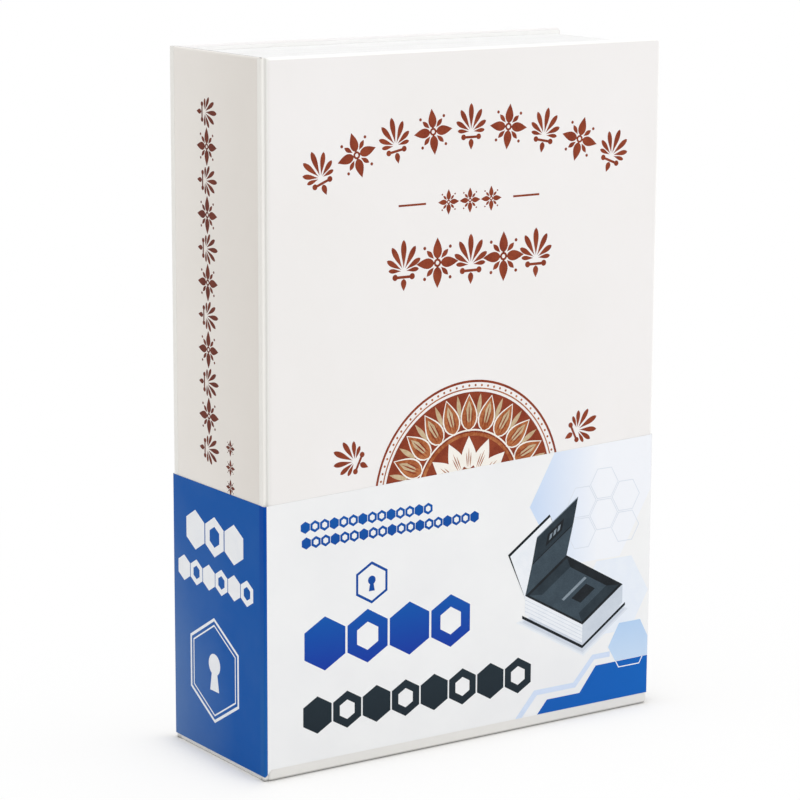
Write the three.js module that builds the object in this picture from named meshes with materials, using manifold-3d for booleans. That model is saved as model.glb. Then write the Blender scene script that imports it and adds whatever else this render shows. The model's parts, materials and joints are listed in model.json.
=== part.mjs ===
// A hollow hardcover book that hides a lined box, in millimetres.
// The book stands on its tail: +Z runs from tail to head, the front cover faces -Y,
// the spine faces -X and the fore-edge faces +X. The origin is the middle of the tail.
import * as THREE from 'three';
import { mergeVertices } from 'three/addons/utils/BufferGeometryUtils.js';
import Module from 'manifold-3d';

const wasm = await Module();
wasm.setup();

// Driving sizes of the closed book
const bookWidth = 159;
const bookDepth = 58.5;
const bookHeight = 236;

// Clearances
const glueLine = 0.1;
const restGap = 0.3;
const runningGap = 0.3;
const overrun = 1;

// Case: three wrapped boards and the creased joints between them
const boardThick = 2.4;
const boardEdge = 0.8;
const boardCorner = 1.5;
const hingeInset = 0.4;
const swingGap = 0.4;
const jointRadius = 0.35;
const jointWeb = 0.5;
const square = 2;
const endpaperThick = 0.25;
const endpaperMargin = 5;

// Paper band
const bandThick = 0.25;
const bandGap = 0.05;
const bandSpineFoot = 1.6;
const bandSpineTop = 92.5;
const bandFrontFoot = 4;
const bandFrontTop = 92.6;
const bandForeEdgeTop = 98;
const bandFlap = 25;

// Box inside the case
const wallThick = 2.4;
const floorThick = 2.4;
const pageThick = 0.6;
const liningThick = 0.8;
const floorLining = 1;

// Inner lid of two panels
const lidThick = 2.4;
const lidGap = 3;
const lidHingeInset = 1.6;
const frontPanelWidth = 73;
const lidLiningGap = 1;
const beadRadius = 0.5;
const tapeThick = 0.4;
const tapeWidth = 9;
const lidTapeBelow = 1;
const lidTapeAbove = 1.2;

// Lock, centred on the length of the lid's front panel
const lockLength = 66;
const lockWidth = 26;
const lockFromEdge = 9.5;
const lockWall = 1.2;
const lockEndBlock = 6;
const lockWindowWidth = 20;
const plateThick = 1.2;
const plateMargin = 1.5;
const dialRadius = 7;
const dialWidth = 4.2;
const dialPitch = 7;
const dialProud = 1.2;
const dialBore = 1.2;
const dialNotch = 0.5;
const dialNotches = 10;
const dialSide = 3;
const lastDial = 5;
const axleRadius = 1;
const axleSeat = 3;
const bearingWidth = 2;
const bearingFromLastDial = 3.5;
const springThick = 0.3;
const springArm = 1.6;
const springReach = 1.1;

// Bolt, with its thumb slider
const boltThick = 1.2;
const boltTravel = 5;
const boltWidth = 6.2;
const boltTongue = 6;
const boltTongueReach = 3.9;
const tongueOffset = 13;
const sliderOffset = 14;
const sliderStem = 4;
const sliderArm = 12;
const sliderWidth = 10;
const sliderLength = 8;
const sliderThick = 1.1;
const sliderGroove = 0.6;
const sliderGroovePitch = 2.4;
const sliderGrooveDeep = 0.5;
const slideClear = 0.3;

// Strike plate on the fore-edge wall
const strikeThick = 1.1;
const strikeLength = 48;
const strikeDrop = 10;
const strikeLip = 3.1;
const strikeBelowLining = 0.5;
const strikeToBolt = 0.4;
const notchClear = 0.8;
const rivetRadius = 1.2;
const rivetHead = 2.2;
const rivetHeadThick = 0.8;
const rivetOffset = 19;
const rivetDrop = 3.4;

// Lock screws
const screwRadius = 1;
const screwHead = 1.9;
const screwHeadThick = 1.1;
const screwSlot = 0.5;
const screwSlotDeep = 0.6;
const screwAcross = 9;
const screwEntry = 2;
const postRadius = 1.9;

// Counts of facets
const pinSides = 16;
const dialSides = 40;
const edgeSteps = 2;
const cornerSteps = 3;

// Faces that several pieces share
const spineFace = -bookWidth / 2;
const foreEdge = bookWidth / 2;
const frontFace = -bookDepth / 2;
const backFace = bookDepth / 2;
const coverEdge = spineFace + 2 * hingeInset + swingGap;
const hingeX = spineFace + hingeInset;
const hingeY = frontFace + boardThick / 2;
const spineEdge = frontFace + boardThick + restGap;
const spineInner = spineFace + boardThick;
const coverInner = frontFace + boardThick;
const endpaperInner = coverInner + glueLine + endpaperThick;

// Box faces, from outside to inside
const boxSpine = spineInner + glueLine;
const boxBack = backFace - boardThick - glueLine;
const pageRight = foreEdge - square;
const pageTail = square;
const pageHead = bookHeight - square;
const wallRight = pageRight - pageThick - glueLine;
const wallTail = pageTail + pageThick + glueLine;
const wallHead = pageHead - pageThick - glueLine;
const liningLeft = boxSpine + wallThick + glueLine;
const liningRight = wallRight - wallThick - glueLine;
const liningTail = wallTail + wallThick + glueLine;
const liningHead = wallHead - wallThick - glueLine;
const innerLeft = liningLeft + liningThick;
const innerRight = liningRight - liningThick;
const innerTail = liningTail + liningThick;
const innerHead = liningHead - liningThick;
const floorTop = boxBack - floorThick;
const innerFloor = floorTop - glueLine - floorLining;

// Lid faces
const lidOuter = endpaperInner + lidGap;
const lidInner = lidOuter + lidThick;
const rim = lidInner + restGap;
const lidHingeX = spineInner + lidHingeInset;
const foldX = pageRight - frontPanelWidth;
const hingeClear = beadRadius + runningGap;

// Lock places, in a frame at the middle of the lock on the lid's outer face,
// with +X to the fore-edge, +Y into the book and +Z to the head
const lockX = pageRight - lockFromEdge - lockWidth / 2;
const lockZ = bookHeight / 2;
const lidLiningY = lidThick + glueLine + liningThick;
const dialY = dialRadius - plateThick - dialProud;
const dialX = -dialSide;
const dialBottom = dialY + dialRadius;
const housingFloor = dialBottom + slideClear;
const housingBottom = housingFloor + lockWall;
const pocketX = lockWidth / 2 - lockWall;
const pocketZ = lockLength / 2 - lockEndBlock;
const screwZ = lockLength / 2 - lockEndBlock / 2;
const strikeTop = lidLiningY + strikeBelowLining;
const boltTop = strikeTop + strikeThick + strikeToBolt;
const boltRight = pocketX - slideClear;
const boltLeft = boltRight - boltWidth;
const strikeFace = innerRight - glueLine - strikeThick;
const rivetY = lidOuter + strikeTop + strikeDrop - rivetDrop;

// Finishes
function finish(color, roughness, metalness = 0) {
  return new THREE.MeshStandardMaterial({ color, roughness, metalness });
}
const laminate = finish(0xeeeeec, 0.35);
const endpaperPaper = finish(0xf3f3f1, 0.8);
const bandPaper = finish(0xf4f6f8, 0.4);
const pagePaper = finish(0xf0efec, 0.85);
const slatePaper = finish(0x3c4b58, 0.75);
const flock = finish(0x4a5a66, 0.95);
const tapeCloth = finish(0x2e3a45, 0.9);
const blackPlastic = finish(0x16181b, 0.45);
const dialPlastic = finish(0x22252a, 0.4);
const steel = finish(0xb9bdc2, 0.3, 1);

// A named mesh
function piece(name, material, geometry, x = 0, y = 0, z = 0) {
  const mesh = new THREE.Mesh(geometry, material);
  mesh.name = name;
  mesh.position.set(x, y, z);
  return mesh;
}

// The geometry of a block between two values on each axis
function block(x, y, z) {
  const geometry = new THREE.BoxGeometry(x[1] - x[0], y[1] - y[0], z[1] - z[0]);
  geometry.translate((x[0] + x[1]) / 2, (y[0] + y[1]) / 2, (z[0] + z[1]) / 2);
  return geometry;
}

// A rectangular sheet or wall, placed by its middle
function slab(name, material, x, y, z) {
  const geometry = new THREE.BoxGeometry(x[1] - x[0], y[1] - y[0], z[1] - z[0]);
  return piece(name, material, geometry, (x[0] + x[1]) / 2, (y[0] + y[1]) / 2, (z[0] + z[1]) / 2);
}

// A round bar along Z between two heights
function bar(radius, x, y, z) {
  const geometry = new THREE.CylinderGeometry(radius, radius, z[1] - z[0], pinSides);
  geometry.rotateX(Math.PI / 2);
  geometry.translate(x, y, (z[0] + z[1]) / 2);
  return geometry;
}

// A round bar along Y between two depths
function post(radius, x, y, z) {
  const geometry = new THREE.CylinderGeometry(radius, radius, y[1] - y[0], pinSides);
  geometry.translate(x, (y[0] + y[1]) / 2, z);
  return geometry;
}

// A closed geometry as a solid for joining and cutting
function solidOf(geometry) {
  const plain = geometry.clone();
  plain.deleteAttribute('normal');
  plain.deleteAttribute('uv');
  const merged = mergeVertices(plain);
  const vertProperties = merged.attributes.position.array;
  const triVerts = Uint32Array.from(merged.index.array);
  return new wasm.Manifold(new wasm.Mesh({ numProp: 3, vertProperties, triVerts }));
}

// The first geometry joined with some and cut by others
function shaped(base, joined, cuts = []) {
  let solid = solidOf(base);
  for (const part of joined) {
    solid = solid.add(solidOf(part));
  }
  for (const cut of cuts) {
    solid = solid.subtract(solidOf(cut));
  }
  const { vertProperties, triVerts } = solid.getMesh();
  const geometry = new THREE.BufferGeometry();
  geometry.setAttribute('position', new THREE.BufferAttribute(vertProperties, 3));
  geometry.setIndex(new THREE.BufferAttribute(triVerts, 1));
  geometry.computeVertexNormals();
  return geometry;
}

// A rectangle with rounded corners, centred on the origin
function roundedRectangle(width, height, corner) {
  const w = width / 2;
  const h = height / 2;
  const shape = new THREE.Shape();
  shape.moveTo(corner - w, -h);
  shape.lineTo(w - corner, -h);
  shape.absarc(w - corner, corner - h, corner, -Math.PI / 2, 0);
  shape.lineTo(w, h - corner);
  shape.absarc(w - corner, h - corner, corner, 0, Math.PI / 2);
  shape.lineTo(corner - w, h);
  shape.absarc(corner - w, h - corner, corner, Math.PI / 2, Math.PI);
  shape.lineTo(-w, corner - h);
  shape.absarc(corner - w, corner - h, corner, Math.PI, Math.PI * 1.5);
  return shape;
}

// A wrapped board in the XY plane with soft edges, its thickness along Z
function boardGeometry(width, height) {
  const depth = boardThick - 2 * boardEdge;
  const geometry = new THREE.ExtrudeGeometry(roundedRectangle(width, height, boardCorner), {
    depth,
    bevelThickness: boardEdge,
    bevelSize: boardEdge,
    bevelOffset: -boardEdge,
    bevelSegments: edgeSteps,
    curveSegments: cornerSteps,
  });
  geometry.translate(0, 0, -depth / 2);
  return geometry;
}

// A wrapped board that faces along Y
function coverBoard(name, outerFace, inwards) {
  const geometry = boardGeometry(foreEdge - coverEdge, bookHeight);
  geometry.rotateX(Math.PI / 2);
  const middle = outerFace + (inwards * boardThick) / 2;
  return piece(name, laminate, geometry, (coverEdge + foreEdge) / 2, middle, bookHeight / 2);
}

// The spine's board, which faces along X
function spineBoard() {
  const geometry = boardGeometry(-2 * spineEdge, bookHeight);
  geometry.rotateX(Math.PI / 2);
  geometry.rotateZ(Math.PI / 2);
  return piece('spine_board', laminate, geometry, spineFace + boardThick / 2, 0, bookHeight / 2);
}

// The creased laminate between the spine and a cover: a round crease on a short web
function jointStrip(name, side) {
  const creaseY = side * -hingeY;
  const webY = side < 0 ? [creaseY, spineEdge] : [-spineEdge, creaseY];
  const height = [0, bookHeight];
  const web = block([hingeX - jointWeb / 2, hingeX + jointWeb / 2], webY, height);
  const bead = bar(jointRadius, hingeX, creaseY, height);
  return piece(name, laminate, shaped(bead, [web]));
}

function makeCase() {
  const group = new THREE.Group();
  group.add(coverBoard('back_cover_board', backFace, -1));
  group.add(spineBoard());
  group.add(jointStrip('front_joint_strip', -1));
  group.add(jointStrip('back_joint_strip', 1));
  return group;
}

function makeFrontCover() {
  const group = new THREE.Group();
  group.add(coverBoard('front_cover_board', frontFace, 1));
  group.add(slab(
    'front_endpaper', endpaperPaper,
    [coverEdge + endpaperMargin, foreEdge - endpaperMargin],
    [coverInner + glueLine, endpaperInner],
    [endpaperMargin, bookHeight - endpaperMargin],
  ));
  return group;
}

// The band's front: a panel whose top edge climbs to the fore-edge, a turn round the
// cover's edge and a flap inside the cover
function bandFront() {
  const outer = frontFace - bandGap;
  const right = foreEdge + bandGap + bandThick;
  const flapInner = endpaperInner + bandGap + bandThick;
  const panel = new THREE.Shape();
  panel.moveTo(coverEdge + boardEdge, bandFrontFoot);
  panel.lineTo(right, bandFrontFoot);
  panel.lineTo(right, bandForeEdgeTop);
  panel.lineTo(coverEdge + boardEdge, bandFrontTop);
  const front = new THREE.ExtrudeGeometry(panel, { depth: bandThick, bevelEnabled: false });
  front.rotateX(Math.PI / 2);
  front.translate(0, outer, 0);
  const height = [bandFrontFoot, bandForeEdgeTop];
  const turn = block([right - bandThick, right], [outer - bandThick, flapInner], height);
  const flap = block([right - bandFlap, right], [flapInner - bandThick, flapInner], height);
  return piece('band_front', bandPaper, shaped(front, [turn, flap]));
}

// The band's rear: over the spine, round the back joint and across the back cover
function bandRear() {
  const left = spineFace - bandGap - bandThick;
  const back = backFace + bandGap + bandThick;
  const height = [bandSpineFoot, bandSpineTop];
  const spine = block([left, left + bandThick], [spineEdge + boardEdge, back], height);
  const across = block([left, foreEdge - boardEdge], [back - bandThick, back], height);
  return piece('band_rear', bandPaper, shaped(spine, [across]));
}

function makeWalls() {
  const group = new THREE.Group();
  const depth = [rim, floorTop - glueLine];
  const length = [wallTail, wallHead];
  const between = [boxSpine + wallThick + glueLine, wallRight - wallThick - glueLine];
  group.add(slab('tray_floor', slatePaper, [boxSpine, wallRight], [floorTop, boxBack], length));
  group.add(slab('tray_wall_spine', slatePaper, [boxSpine, boxSpine + wallThick], depth, length));
  const holes = [-1, 1].map((side) => rivetHole(liningRight, wallRight + overrun, side));
  const foreWall = block([wallRight - wallThick, wallRight], depth, length);
  group.add(piece('tray_wall_fore_edge', slatePaper, shaped(foreWall, [], holes)));
  group.add(slab('tray_wall_tail', slatePaper, between, depth, [wallTail, wallTail + wallThick]));
  group.add(slab('tray_wall_head', slatePaper, between, depth, [wallHead - wallThick, wallHead]));
  return group;
}

// A hole along X for one of the strike's two rivets
function rivetHole(left, right, side) {
  const radius = rivetRadius + glueLine;
  const geometry = new THREE.CylinderGeometry(radius, radius, right - left, pinSides);
  geometry.rotateZ(Math.PI / 2);
  geometry.translate((left + right) / 2, rivetY, lockZ + side * rivetOffset);
  return geometry;
}

// The page-look paper round the tail, the fore-edge and the head of the box
function pageWrap() {
  const outline = new THREE.Shape();
  outline.moveTo(boxSpine, pageTail);
  outline.lineTo(pageRight, pageTail);
  outline.lineTo(pageRight, pageHead);
  outline.lineTo(boxSpine, pageHead);
  outline.lineTo(boxSpine, pageHead - pageThick);
  outline.lineTo(pageRight - pageThick, pageHead - pageThick);
  outline.lineTo(pageRight - pageThick, pageTail + pageThick);
  outline.lineTo(boxSpine, pageTail + pageThick);
  const geometry = new THREE.ExtrudeGeometry(outline, { depth: boxBack - rim, bevelEnabled: false });
  geometry.rotateX(Math.PI / 2);
  return piece('page_wrap', pagePaper, geometry, 0, boxBack, 0);
}

function makeLinings() {
  const group = new THREE.Group();
  const depth = [rim, innerFloor - glueLine];
  const length = [liningTail, liningHead];
  const between = [innerLeft + glueLine, innerRight - glueLine];
  group.add(slab(
    'floor_lining', flock,
    [liningLeft, liningRight], [innerFloor, innerFloor + floorLining], length,
  ));
  group.add(slab('lining_spine', flock, [liningLeft, innerLeft], depth, length));
  const holes = [-1, 1].map((side) => rivetHole(innerRight - overrun, liningRight + overrun, side));
  const foreLining = block([innerRight, liningRight], depth, length);
  group.add(piece('lining_fore_edge', flock, shaped(foreLining, [], holes)));
  group.add(slab('lining_tail', flock, between, depth, [liningTail, innerTail]));
  group.add(slab('lining_head', flock, between, depth, [innerHead, liningHead]));
  return group;
}

// Cloth hinge between the spine's board and the lid: a glued leg, a web and a round crease
function lidHingeTape() {
  const length = [wallTail, wallHead];
  const left = spineInner + glueLine;
  const leg = block([left, left + tapeThick], [lidOuter - lidTapeAbove, lidOuter + lidTapeBelow], length);
  const web = block([left, lidHingeX], [lidOuter - tapeThick / 2, lidOuter + tapeThick / 2], length);
  const bead = bar(beadRadius, lidHingeX, lidOuter, length);
  return piece('lid_hinge_tape', tapeCloth, shaped(bead, [leg, web]));
}

// Cloth hinge at the fold: a leg glued on the rear panel and a round crease
function foldTape() {
  const length = [pageTail, pageHead];
  const top = lidOuter - glueLine;
  const leg = block([foldX - tapeWidth, foldX], [top - tapeThick, top], length);
  const bead = bar(beadRadius, foldX, lidOuter, length);
  return piece('lid_fold_tape', tapeCloth, shaped(bead, [leg]));
}

function makeLidRear() {
  const group = new THREE.Group();
  const liningY = [lidInner + glueLine, lidInner + glueLine + liningThick];
  group.add(slab(
    'lid_rear_panel', slatePaper,
    [lidHingeX + hingeClear, foldX - hingeClear], [lidOuter, lidInner], [pageTail, pageHead],
  ));
  group.add(slab(
    'lid_rear_lining', flock,
    [innerLeft + lidLiningGap, foldX - hingeClear - lidLiningGap], liningY,
    [innerTail + lidLiningGap, innerHead - lidLiningGap],
  ));
  group.add(foldTape());
  return group;
}

// Pairs of signs, for what sits at the four corners of the lock
const corners = [[-1, -1], [1, -1], [1, 1], [-1, 1]];

function makeLidFront() {
  const group = new THREE.Group();
  const left = foldX + hingeClear;
  const window = block(
    [lockX - lockWindowWidth / 2, lockX + lockWindowWidth / 2],
    [lidOuter - overrun, lidInner + overrun],
    [lockZ - pocketZ, lockZ + pocketZ],
  );
  const holes = corners.map(([a, b]) => post(
    postRadius + runningGap, lockX + a * screwAcross,
    [lidOuter - overrun, lidInner + overrun], lockZ + b * screwZ,
  ));
  const panel = block([left, pageRight], [lidOuter, lidInner], [pageTail, pageHead]);
  group.add(piece('lid_front_panel', slatePaper, shaped(panel, [], [window, ...holes])));
  const liningY = [lidInner + glueLine, lidInner + glueLine + liningThick];
  const lining = block(
    [left + lidLiningGap, innerRight - lidLiningGap], liningY,
    [innerTail + lidLiningGap, innerHead - lidLiningGap],
  );
  const opening = block(
    [lockX - lockWidth / 2 - glueLine, lockX + lockWidth / 2 + glueLine],
    [liningY[0] - overrun, liningY[1] + overrun],
    [lockZ - lockLength / 2 - glueLine, lockZ + lockLength / 2 + glueLine],
  );
  group.add(piece('lid_front_lining', flock, shaped(lining, [], [opening])));
  return group;
}

// Middles of the dials along the lock, the last one nearest the slider
const dialPlaces = [2, 1, 0].map((n) => -lastDial - n * dialPitch);
const bearingZ = -lastDial + bearingFromLastDial;

// The face plate, with a window for each dial, a slot for the slider and four posts
function facePlate() {
  const halfX = lockWidth / 2 + plateMargin;
  const halfZ = lockLength / 2 + plateMargin;
  const plate = block([-halfX, halfX], [-plateThick, 0], [-halfZ, halfZ]);
  const through = [-plateThick - overrun, overrun];
  const chord = Math.sqrt(dialRadius ** 2 - dialY ** 2) + runningGap;
  const cuts = dialPlaces.map((z) => block(
    [dialX - chord, dialX + chord], through,
    [z - dialWidth / 2 - runningGap, z + dialWidth / 2 + runningGap],
  ));
  cuts.push(block(
    [dialX - sliderStem / 2 - slideClear, dialX + sliderStem / 2 + slideClear], through,
    [sliderOffset - sliderStem / 2 - slideClear, sliderOffset + sliderStem / 2 + boltTravel + slideClear],
  ));
  const postDepth = [-plateThick / 2, lidThick];
  const posts = corners.map(([a, b]) => post(postRadius, a * screwAcross, postDepth, b * screwZ));
  for (const [a, b] of corners) {
    cuts.push(post(screwRadius + glueLine, a * screwAcross, [0, lidThick + overrun], b * screwZ));
  }
  return piece('lock_face_plate', blackPlastic, shaped(plate, posts, cuts));
}

// The housing under the lid: a pocket for the works, a bearing for the axle, slots for the
// bolt's tongues and four screw holes
function housing() {
  const top = lidThick + glueLine;
  const body = block(
    [-lockWidth / 2, lockWidth / 2], [top, housingBottom],
    [-lockLength / 2, lockLength / 2],
  );
  const pocket = block([-pocketX, pocketX], [top - overrun, housingFloor], [-pocketZ, pocketZ]);
  const bearing = block(
    [-pocketX - lockWall / 2, boltLeft - slideClear], [top, housingFloor + lockWall / 2],
    [bearingZ, bearingZ + bearingWidth],
  );
  const axleHole = [-pocketZ - axleSeat, bearingZ + bearingWidth + overrun];
  const cuts = [bar(axleRadius + glueLine, dialX, dialY, axleHole)];
  for (const side of [-1, 1]) {
    const z = side * tongueOffset;
    cuts.push(block(
      [pocketX - overrun, lockWidth / 2 + overrun],
      [boltTop - slideClear, boltTop + boltThick + slideClear],
      [z - boltTongue / 2 - slideClear, z + boltTongue / 2 + boltTravel + slideClear],
    ));
  }
  for (const [a, b] of corners) {
    cuts.push(post(
      screwRadius + glueLine, a * screwAcross,
      [top - overrun, housingBottom + overrun], b * screwZ,
    ));
    cuts.push(post(
      screwHead + glueLine, a * screwAcross,
      [housingBottom - screwHeadThick, housingBottom + overrun], b * screwZ,
    ));
  }
  const shell = shaped(body, [], [pocket]);
  return piece('lock_housing', blackPlastic, shaped(shell, [bearing], cuts));
}

// A dial with ten finger notches and a bore for the axle
function dialGeometry() {
  const shape = new THREE.Shape();
  const steps = dialSides / dialNotches;
  for (let i = 0; i < dialSides; i += 1) {
    const radius = i % steps === 0 ? dialRadius - dialNotch : dialRadius;
    const angle = (i / dialSides) * Math.PI * 2;
    const x = radius * Math.cos(angle);
    const y = radius * Math.sin(angle);
    if (i === 0) {
      shape.moveTo(x, y);
    } else {
      shape.lineTo(x, y);
    }
  }
  const bore = new THREE.Path();
  bore.absarc(0, 0, dialBore, 0, Math.PI * 2, true);
  shape.holes.push(bore);
  const geometry = new THREE.ExtrudeGeometry(shape, {
    depth: dialWidth,
    bevelEnabled: false,
    curveSegments: pinSides / 2,
  });
  geometry.translate(0, 0, -dialWidth / 2);
  return geometry;
}

// A comb of three spring arms against the housing's side, one beside each dial
function detentSpring() {
  const left = -pocketX + glueLine;
  const x = [left, left + springThick];
  const nearDial = dialX - dialRadius - runningGap;
  const arms = dialPlaces.map((z) => block(x, [dialY - springArm, housingFloor - glueLine], [
    z - dialWidth / 2, z + dialWidth / 2,
  ]));
  const noses = dialPlaces.map((z) => block(
    [left, Math.min(left + springThick + springReach, nearDial)],
    [dialY - springThick, dialY + springThick], [z - dialWidth / 2, z + dialWidth / 2],
  ));
  const foot = block(x, [dialBottom - springArm, housingFloor - glueLine], [
    dialPlaces[0] - dialWidth / 2, dialPlaces[2] + dialWidth / 2,
  ]);
  return piece('detent_spring', steel, shaped(foot, [...arms, ...noses]));
}

// A screw from the compartment side up into the face plate's post
function lockScrew(name, a, b) {
  const head = post(screwHead, 0, [housingBottom - screwHeadThick + glueLine, housingBottom], 0);
  const shank = post(screwRadius, 0, [lidThick - screwEntry, housingBottom - screwHeadThick / 2], 0);
  const slot = block(
    [-screwHead, screwHead],
    [housingBottom - screwSlotDeep, housingBottom + overrun],
    [-screwSlot / 2, screwSlot / 2],
  );
  return piece(name, steel, shaped(head, [shank], [slot]), a * screwAcross, 0, b * screwZ);
}

// The sliding bolt: a plate beside the dials, two tongues and an arm to the thumb slider
function boltPlate() {
  const depth = [boltTop, boltTop + boltThick];
  const halfZ = pocketZ - boltTravel - overrun;
  const plate = block([boltLeft, boltRight], depth, [-halfZ, halfZ]);
  const tongues = [-1, 1].map((side) => block(
    [boltLeft, lockWidth / 2 + boltTongueReach], depth,
    [side * tongueOffset - boltTongue / 2, side * tongueOffset + boltTongue / 2],
  ));
  const arm = block(
    [dialX - sliderStem, boltRight], depth,
    [sliderOffset - sliderArm / 2, sliderOffset + sliderArm / 2],
  );
  return piece('lock_bolt', steel, shaped(plate, [...tongues, arm]));
}

// The thumb slider: a ribbed pad above the face plate on a stem that stands on the bolt
function thumbSlider() {
  const under = -plateThick - glueLine;
  const pad = block(
    [dialX - sliderWidth / 2, dialX + sliderWidth / 2], [under - sliderThick, under],
    [sliderOffset - sliderLength / 2, sliderOffset + sliderLength / 2],
  );
  const stem = block(
    [dialX - sliderStem / 2, dialX + sliderStem / 2], [under - sliderThick / 2, boltTop - glueLine],
    [sliderOffset - sliderStem / 2, sliderOffset + sliderStem / 2],
  );
  const grooves = [-1, 0, 1].map((n) => block(
    [dialX - sliderWidth, dialX + sliderWidth],
    [under - sliderThick - overrun, under - sliderThick + sliderGrooveDeep],
    [
      sliderOffset + n * sliderGroovePitch - sliderGroove / 2,
      sliderOffset + n * sliderGroovePitch + sliderGroove / 2,
    ],
  ));
  return piece('thumb_slider', steel, shaped(pad, [stem], grooves));
}

function makeLock() {
  const group = new THREE.Group();
  group.position.set(lockX, lidOuter, lockZ);
  group.add(facePlate());
  group.add(housing());
  const axle = [glueLine - pocketZ - axleSeat, bearingZ + bearingWidth];
  group.add(piece('dial_axle', steel, bar(axleRadius, 0, 0, axle), dialX, dialY, 0));
  dialPlaces.forEach((z, n) => {
    group.add(piece(`number_dial_${n + 1}`, dialPlastic, dialGeometry(), dialX, dialY, z));
  });
  group.add(detentSpring());
  corners.forEach(([a, b], n) => group.add(lockScrew(`lock_screw_${n + 1}`, a, b)));
  group.add(boltPlate());
  group.add(thumbSlider());
  return group;
}

// The strike: a leg on the fore-edge wall and a lip with a notch for each tongue
function strikePlate() {
  const top = lidOuter + strikeTop;
  const z = [lockZ - strikeLength / 2, lockZ + strikeLength / 2];
  const leg = block([strikeFace, strikeFace + strikeThick], [top, top + strikeDrop], z);
  const lip = block([strikeFace - strikeLip, strikeFace + strikeThick / 2], [top, top + strikeThick], z);
  const cuts = [-1, 1].map((side) => block(
    [strikeFace - strikeLip - overrun, strikeFace], [top - overrun, top + strikeThick + overrun],
    [
      lockZ + side * tongueOffset - boltTongue / 2 - notchClear,
      lockZ + side * tongueOffset + boltTongue / 2 + notchClear,
    ],
  ));
  for (const side of [-1, 1]) {
    cuts.push(rivetHole(strikeFace - overrun, strikeFace + strikeThick + glueLine / 2, side));
  }
  return piece('strike_plate', steel, shaped(leg, [lip], cuts));
}

// A rivet through the strike's leg, the lining and the wall
function rivet(name, side) {
  const head = new THREE.CylinderGeometry(rivetHead / 2, rivetHead, rivetHeadThick, pinSides);
  head.rotateZ(Math.PI / 2);
  head.translate(-rivetHeadThick / 2 - glueLine, 0, 0);
  const reach = wallRight - glueLine - strikeFace;
  const shank = new THREE.CylinderGeometry(rivetRadius, rivetRadius, reach + rivetHeadThick / 2, pinSides);
  shank.rotateZ(Math.PI / 2);
  shank.translate((reach - rivetHeadThick / 2) / 2, 0, 0);
  return piece(name, steel, shaped(head, [shank]), strikeFace, rivetY, lockZ + side * rivetOffset);
}

const book = new THREE.Group();
book.name = 'book_safe';
book.add(makeCase());
book.add(makeFrontCover());
book.add(bandFront());
book.add(bandRear());
book.add(makeWalls());
book.add(pageWrap());
book.add(makeLinings());
book.add(lidHingeTape());
book.add(makeLidRear());
book.add(makeLidFront());
book.add(makeLock());
book.add(strikePlate());
book.add(rivet('strike_rivet_1', -1));
book.add(rivet('strike_rivet_2', 1));

export default book;
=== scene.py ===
import json
import math
import random

import bmesh
import bpy
from mathutils import Matrix, Vector

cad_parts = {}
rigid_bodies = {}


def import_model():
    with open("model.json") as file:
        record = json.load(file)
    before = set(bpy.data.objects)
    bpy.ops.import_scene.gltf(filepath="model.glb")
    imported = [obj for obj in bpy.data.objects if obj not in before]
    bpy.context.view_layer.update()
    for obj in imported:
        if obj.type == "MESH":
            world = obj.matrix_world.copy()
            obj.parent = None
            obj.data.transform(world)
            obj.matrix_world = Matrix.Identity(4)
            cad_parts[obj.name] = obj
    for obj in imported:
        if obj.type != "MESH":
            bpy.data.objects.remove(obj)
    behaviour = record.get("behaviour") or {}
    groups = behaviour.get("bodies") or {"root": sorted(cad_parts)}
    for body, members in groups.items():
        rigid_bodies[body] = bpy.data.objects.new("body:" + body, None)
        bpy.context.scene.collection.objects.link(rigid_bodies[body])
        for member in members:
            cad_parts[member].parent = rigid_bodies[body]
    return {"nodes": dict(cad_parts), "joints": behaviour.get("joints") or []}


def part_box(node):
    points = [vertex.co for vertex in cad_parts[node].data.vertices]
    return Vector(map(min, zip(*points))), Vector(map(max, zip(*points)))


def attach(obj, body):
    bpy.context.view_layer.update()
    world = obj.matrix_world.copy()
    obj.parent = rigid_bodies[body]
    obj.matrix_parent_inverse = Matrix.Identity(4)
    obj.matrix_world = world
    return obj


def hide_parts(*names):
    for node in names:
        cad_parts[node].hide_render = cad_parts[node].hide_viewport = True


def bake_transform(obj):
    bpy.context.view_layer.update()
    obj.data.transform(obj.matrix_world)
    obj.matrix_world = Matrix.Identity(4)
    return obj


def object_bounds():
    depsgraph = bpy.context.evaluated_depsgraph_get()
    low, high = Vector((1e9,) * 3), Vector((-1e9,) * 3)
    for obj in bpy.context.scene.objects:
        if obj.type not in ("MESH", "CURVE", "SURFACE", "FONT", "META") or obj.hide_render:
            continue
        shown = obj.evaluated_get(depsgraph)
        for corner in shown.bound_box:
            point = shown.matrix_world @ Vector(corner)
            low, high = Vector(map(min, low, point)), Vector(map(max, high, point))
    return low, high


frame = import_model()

mm = 0.001
cad_low, cad_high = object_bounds()
front_low, front_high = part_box("front_cover_board")
back_low, back_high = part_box("back_cover_board")
spine_low, spine_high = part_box("spine_board")
band_low, band_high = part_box("band_front")
rear_low, rear_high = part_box("band_rear")
page_low, page_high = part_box("page_wrap")
hinges = {joint["name"]: Vector(joint["pos_m"]) for joint in frame["joints"] if "pos_m" in joint}
cover_axis = hinges["cover_hinge"]


# Colours and node trees

def tone(red, green, blue):
    """A colour on the screen's scale of 0 to 255, as the linear colour that shaders take."""
    shares = [value / 255 for value in (red, green, blue)]
    linear = [s / 12.92 if s <= 0.04045 else ((s + 0.055) / 1.055) ** 2.4 for s in shares]
    return (*linear, 1.0)


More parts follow.
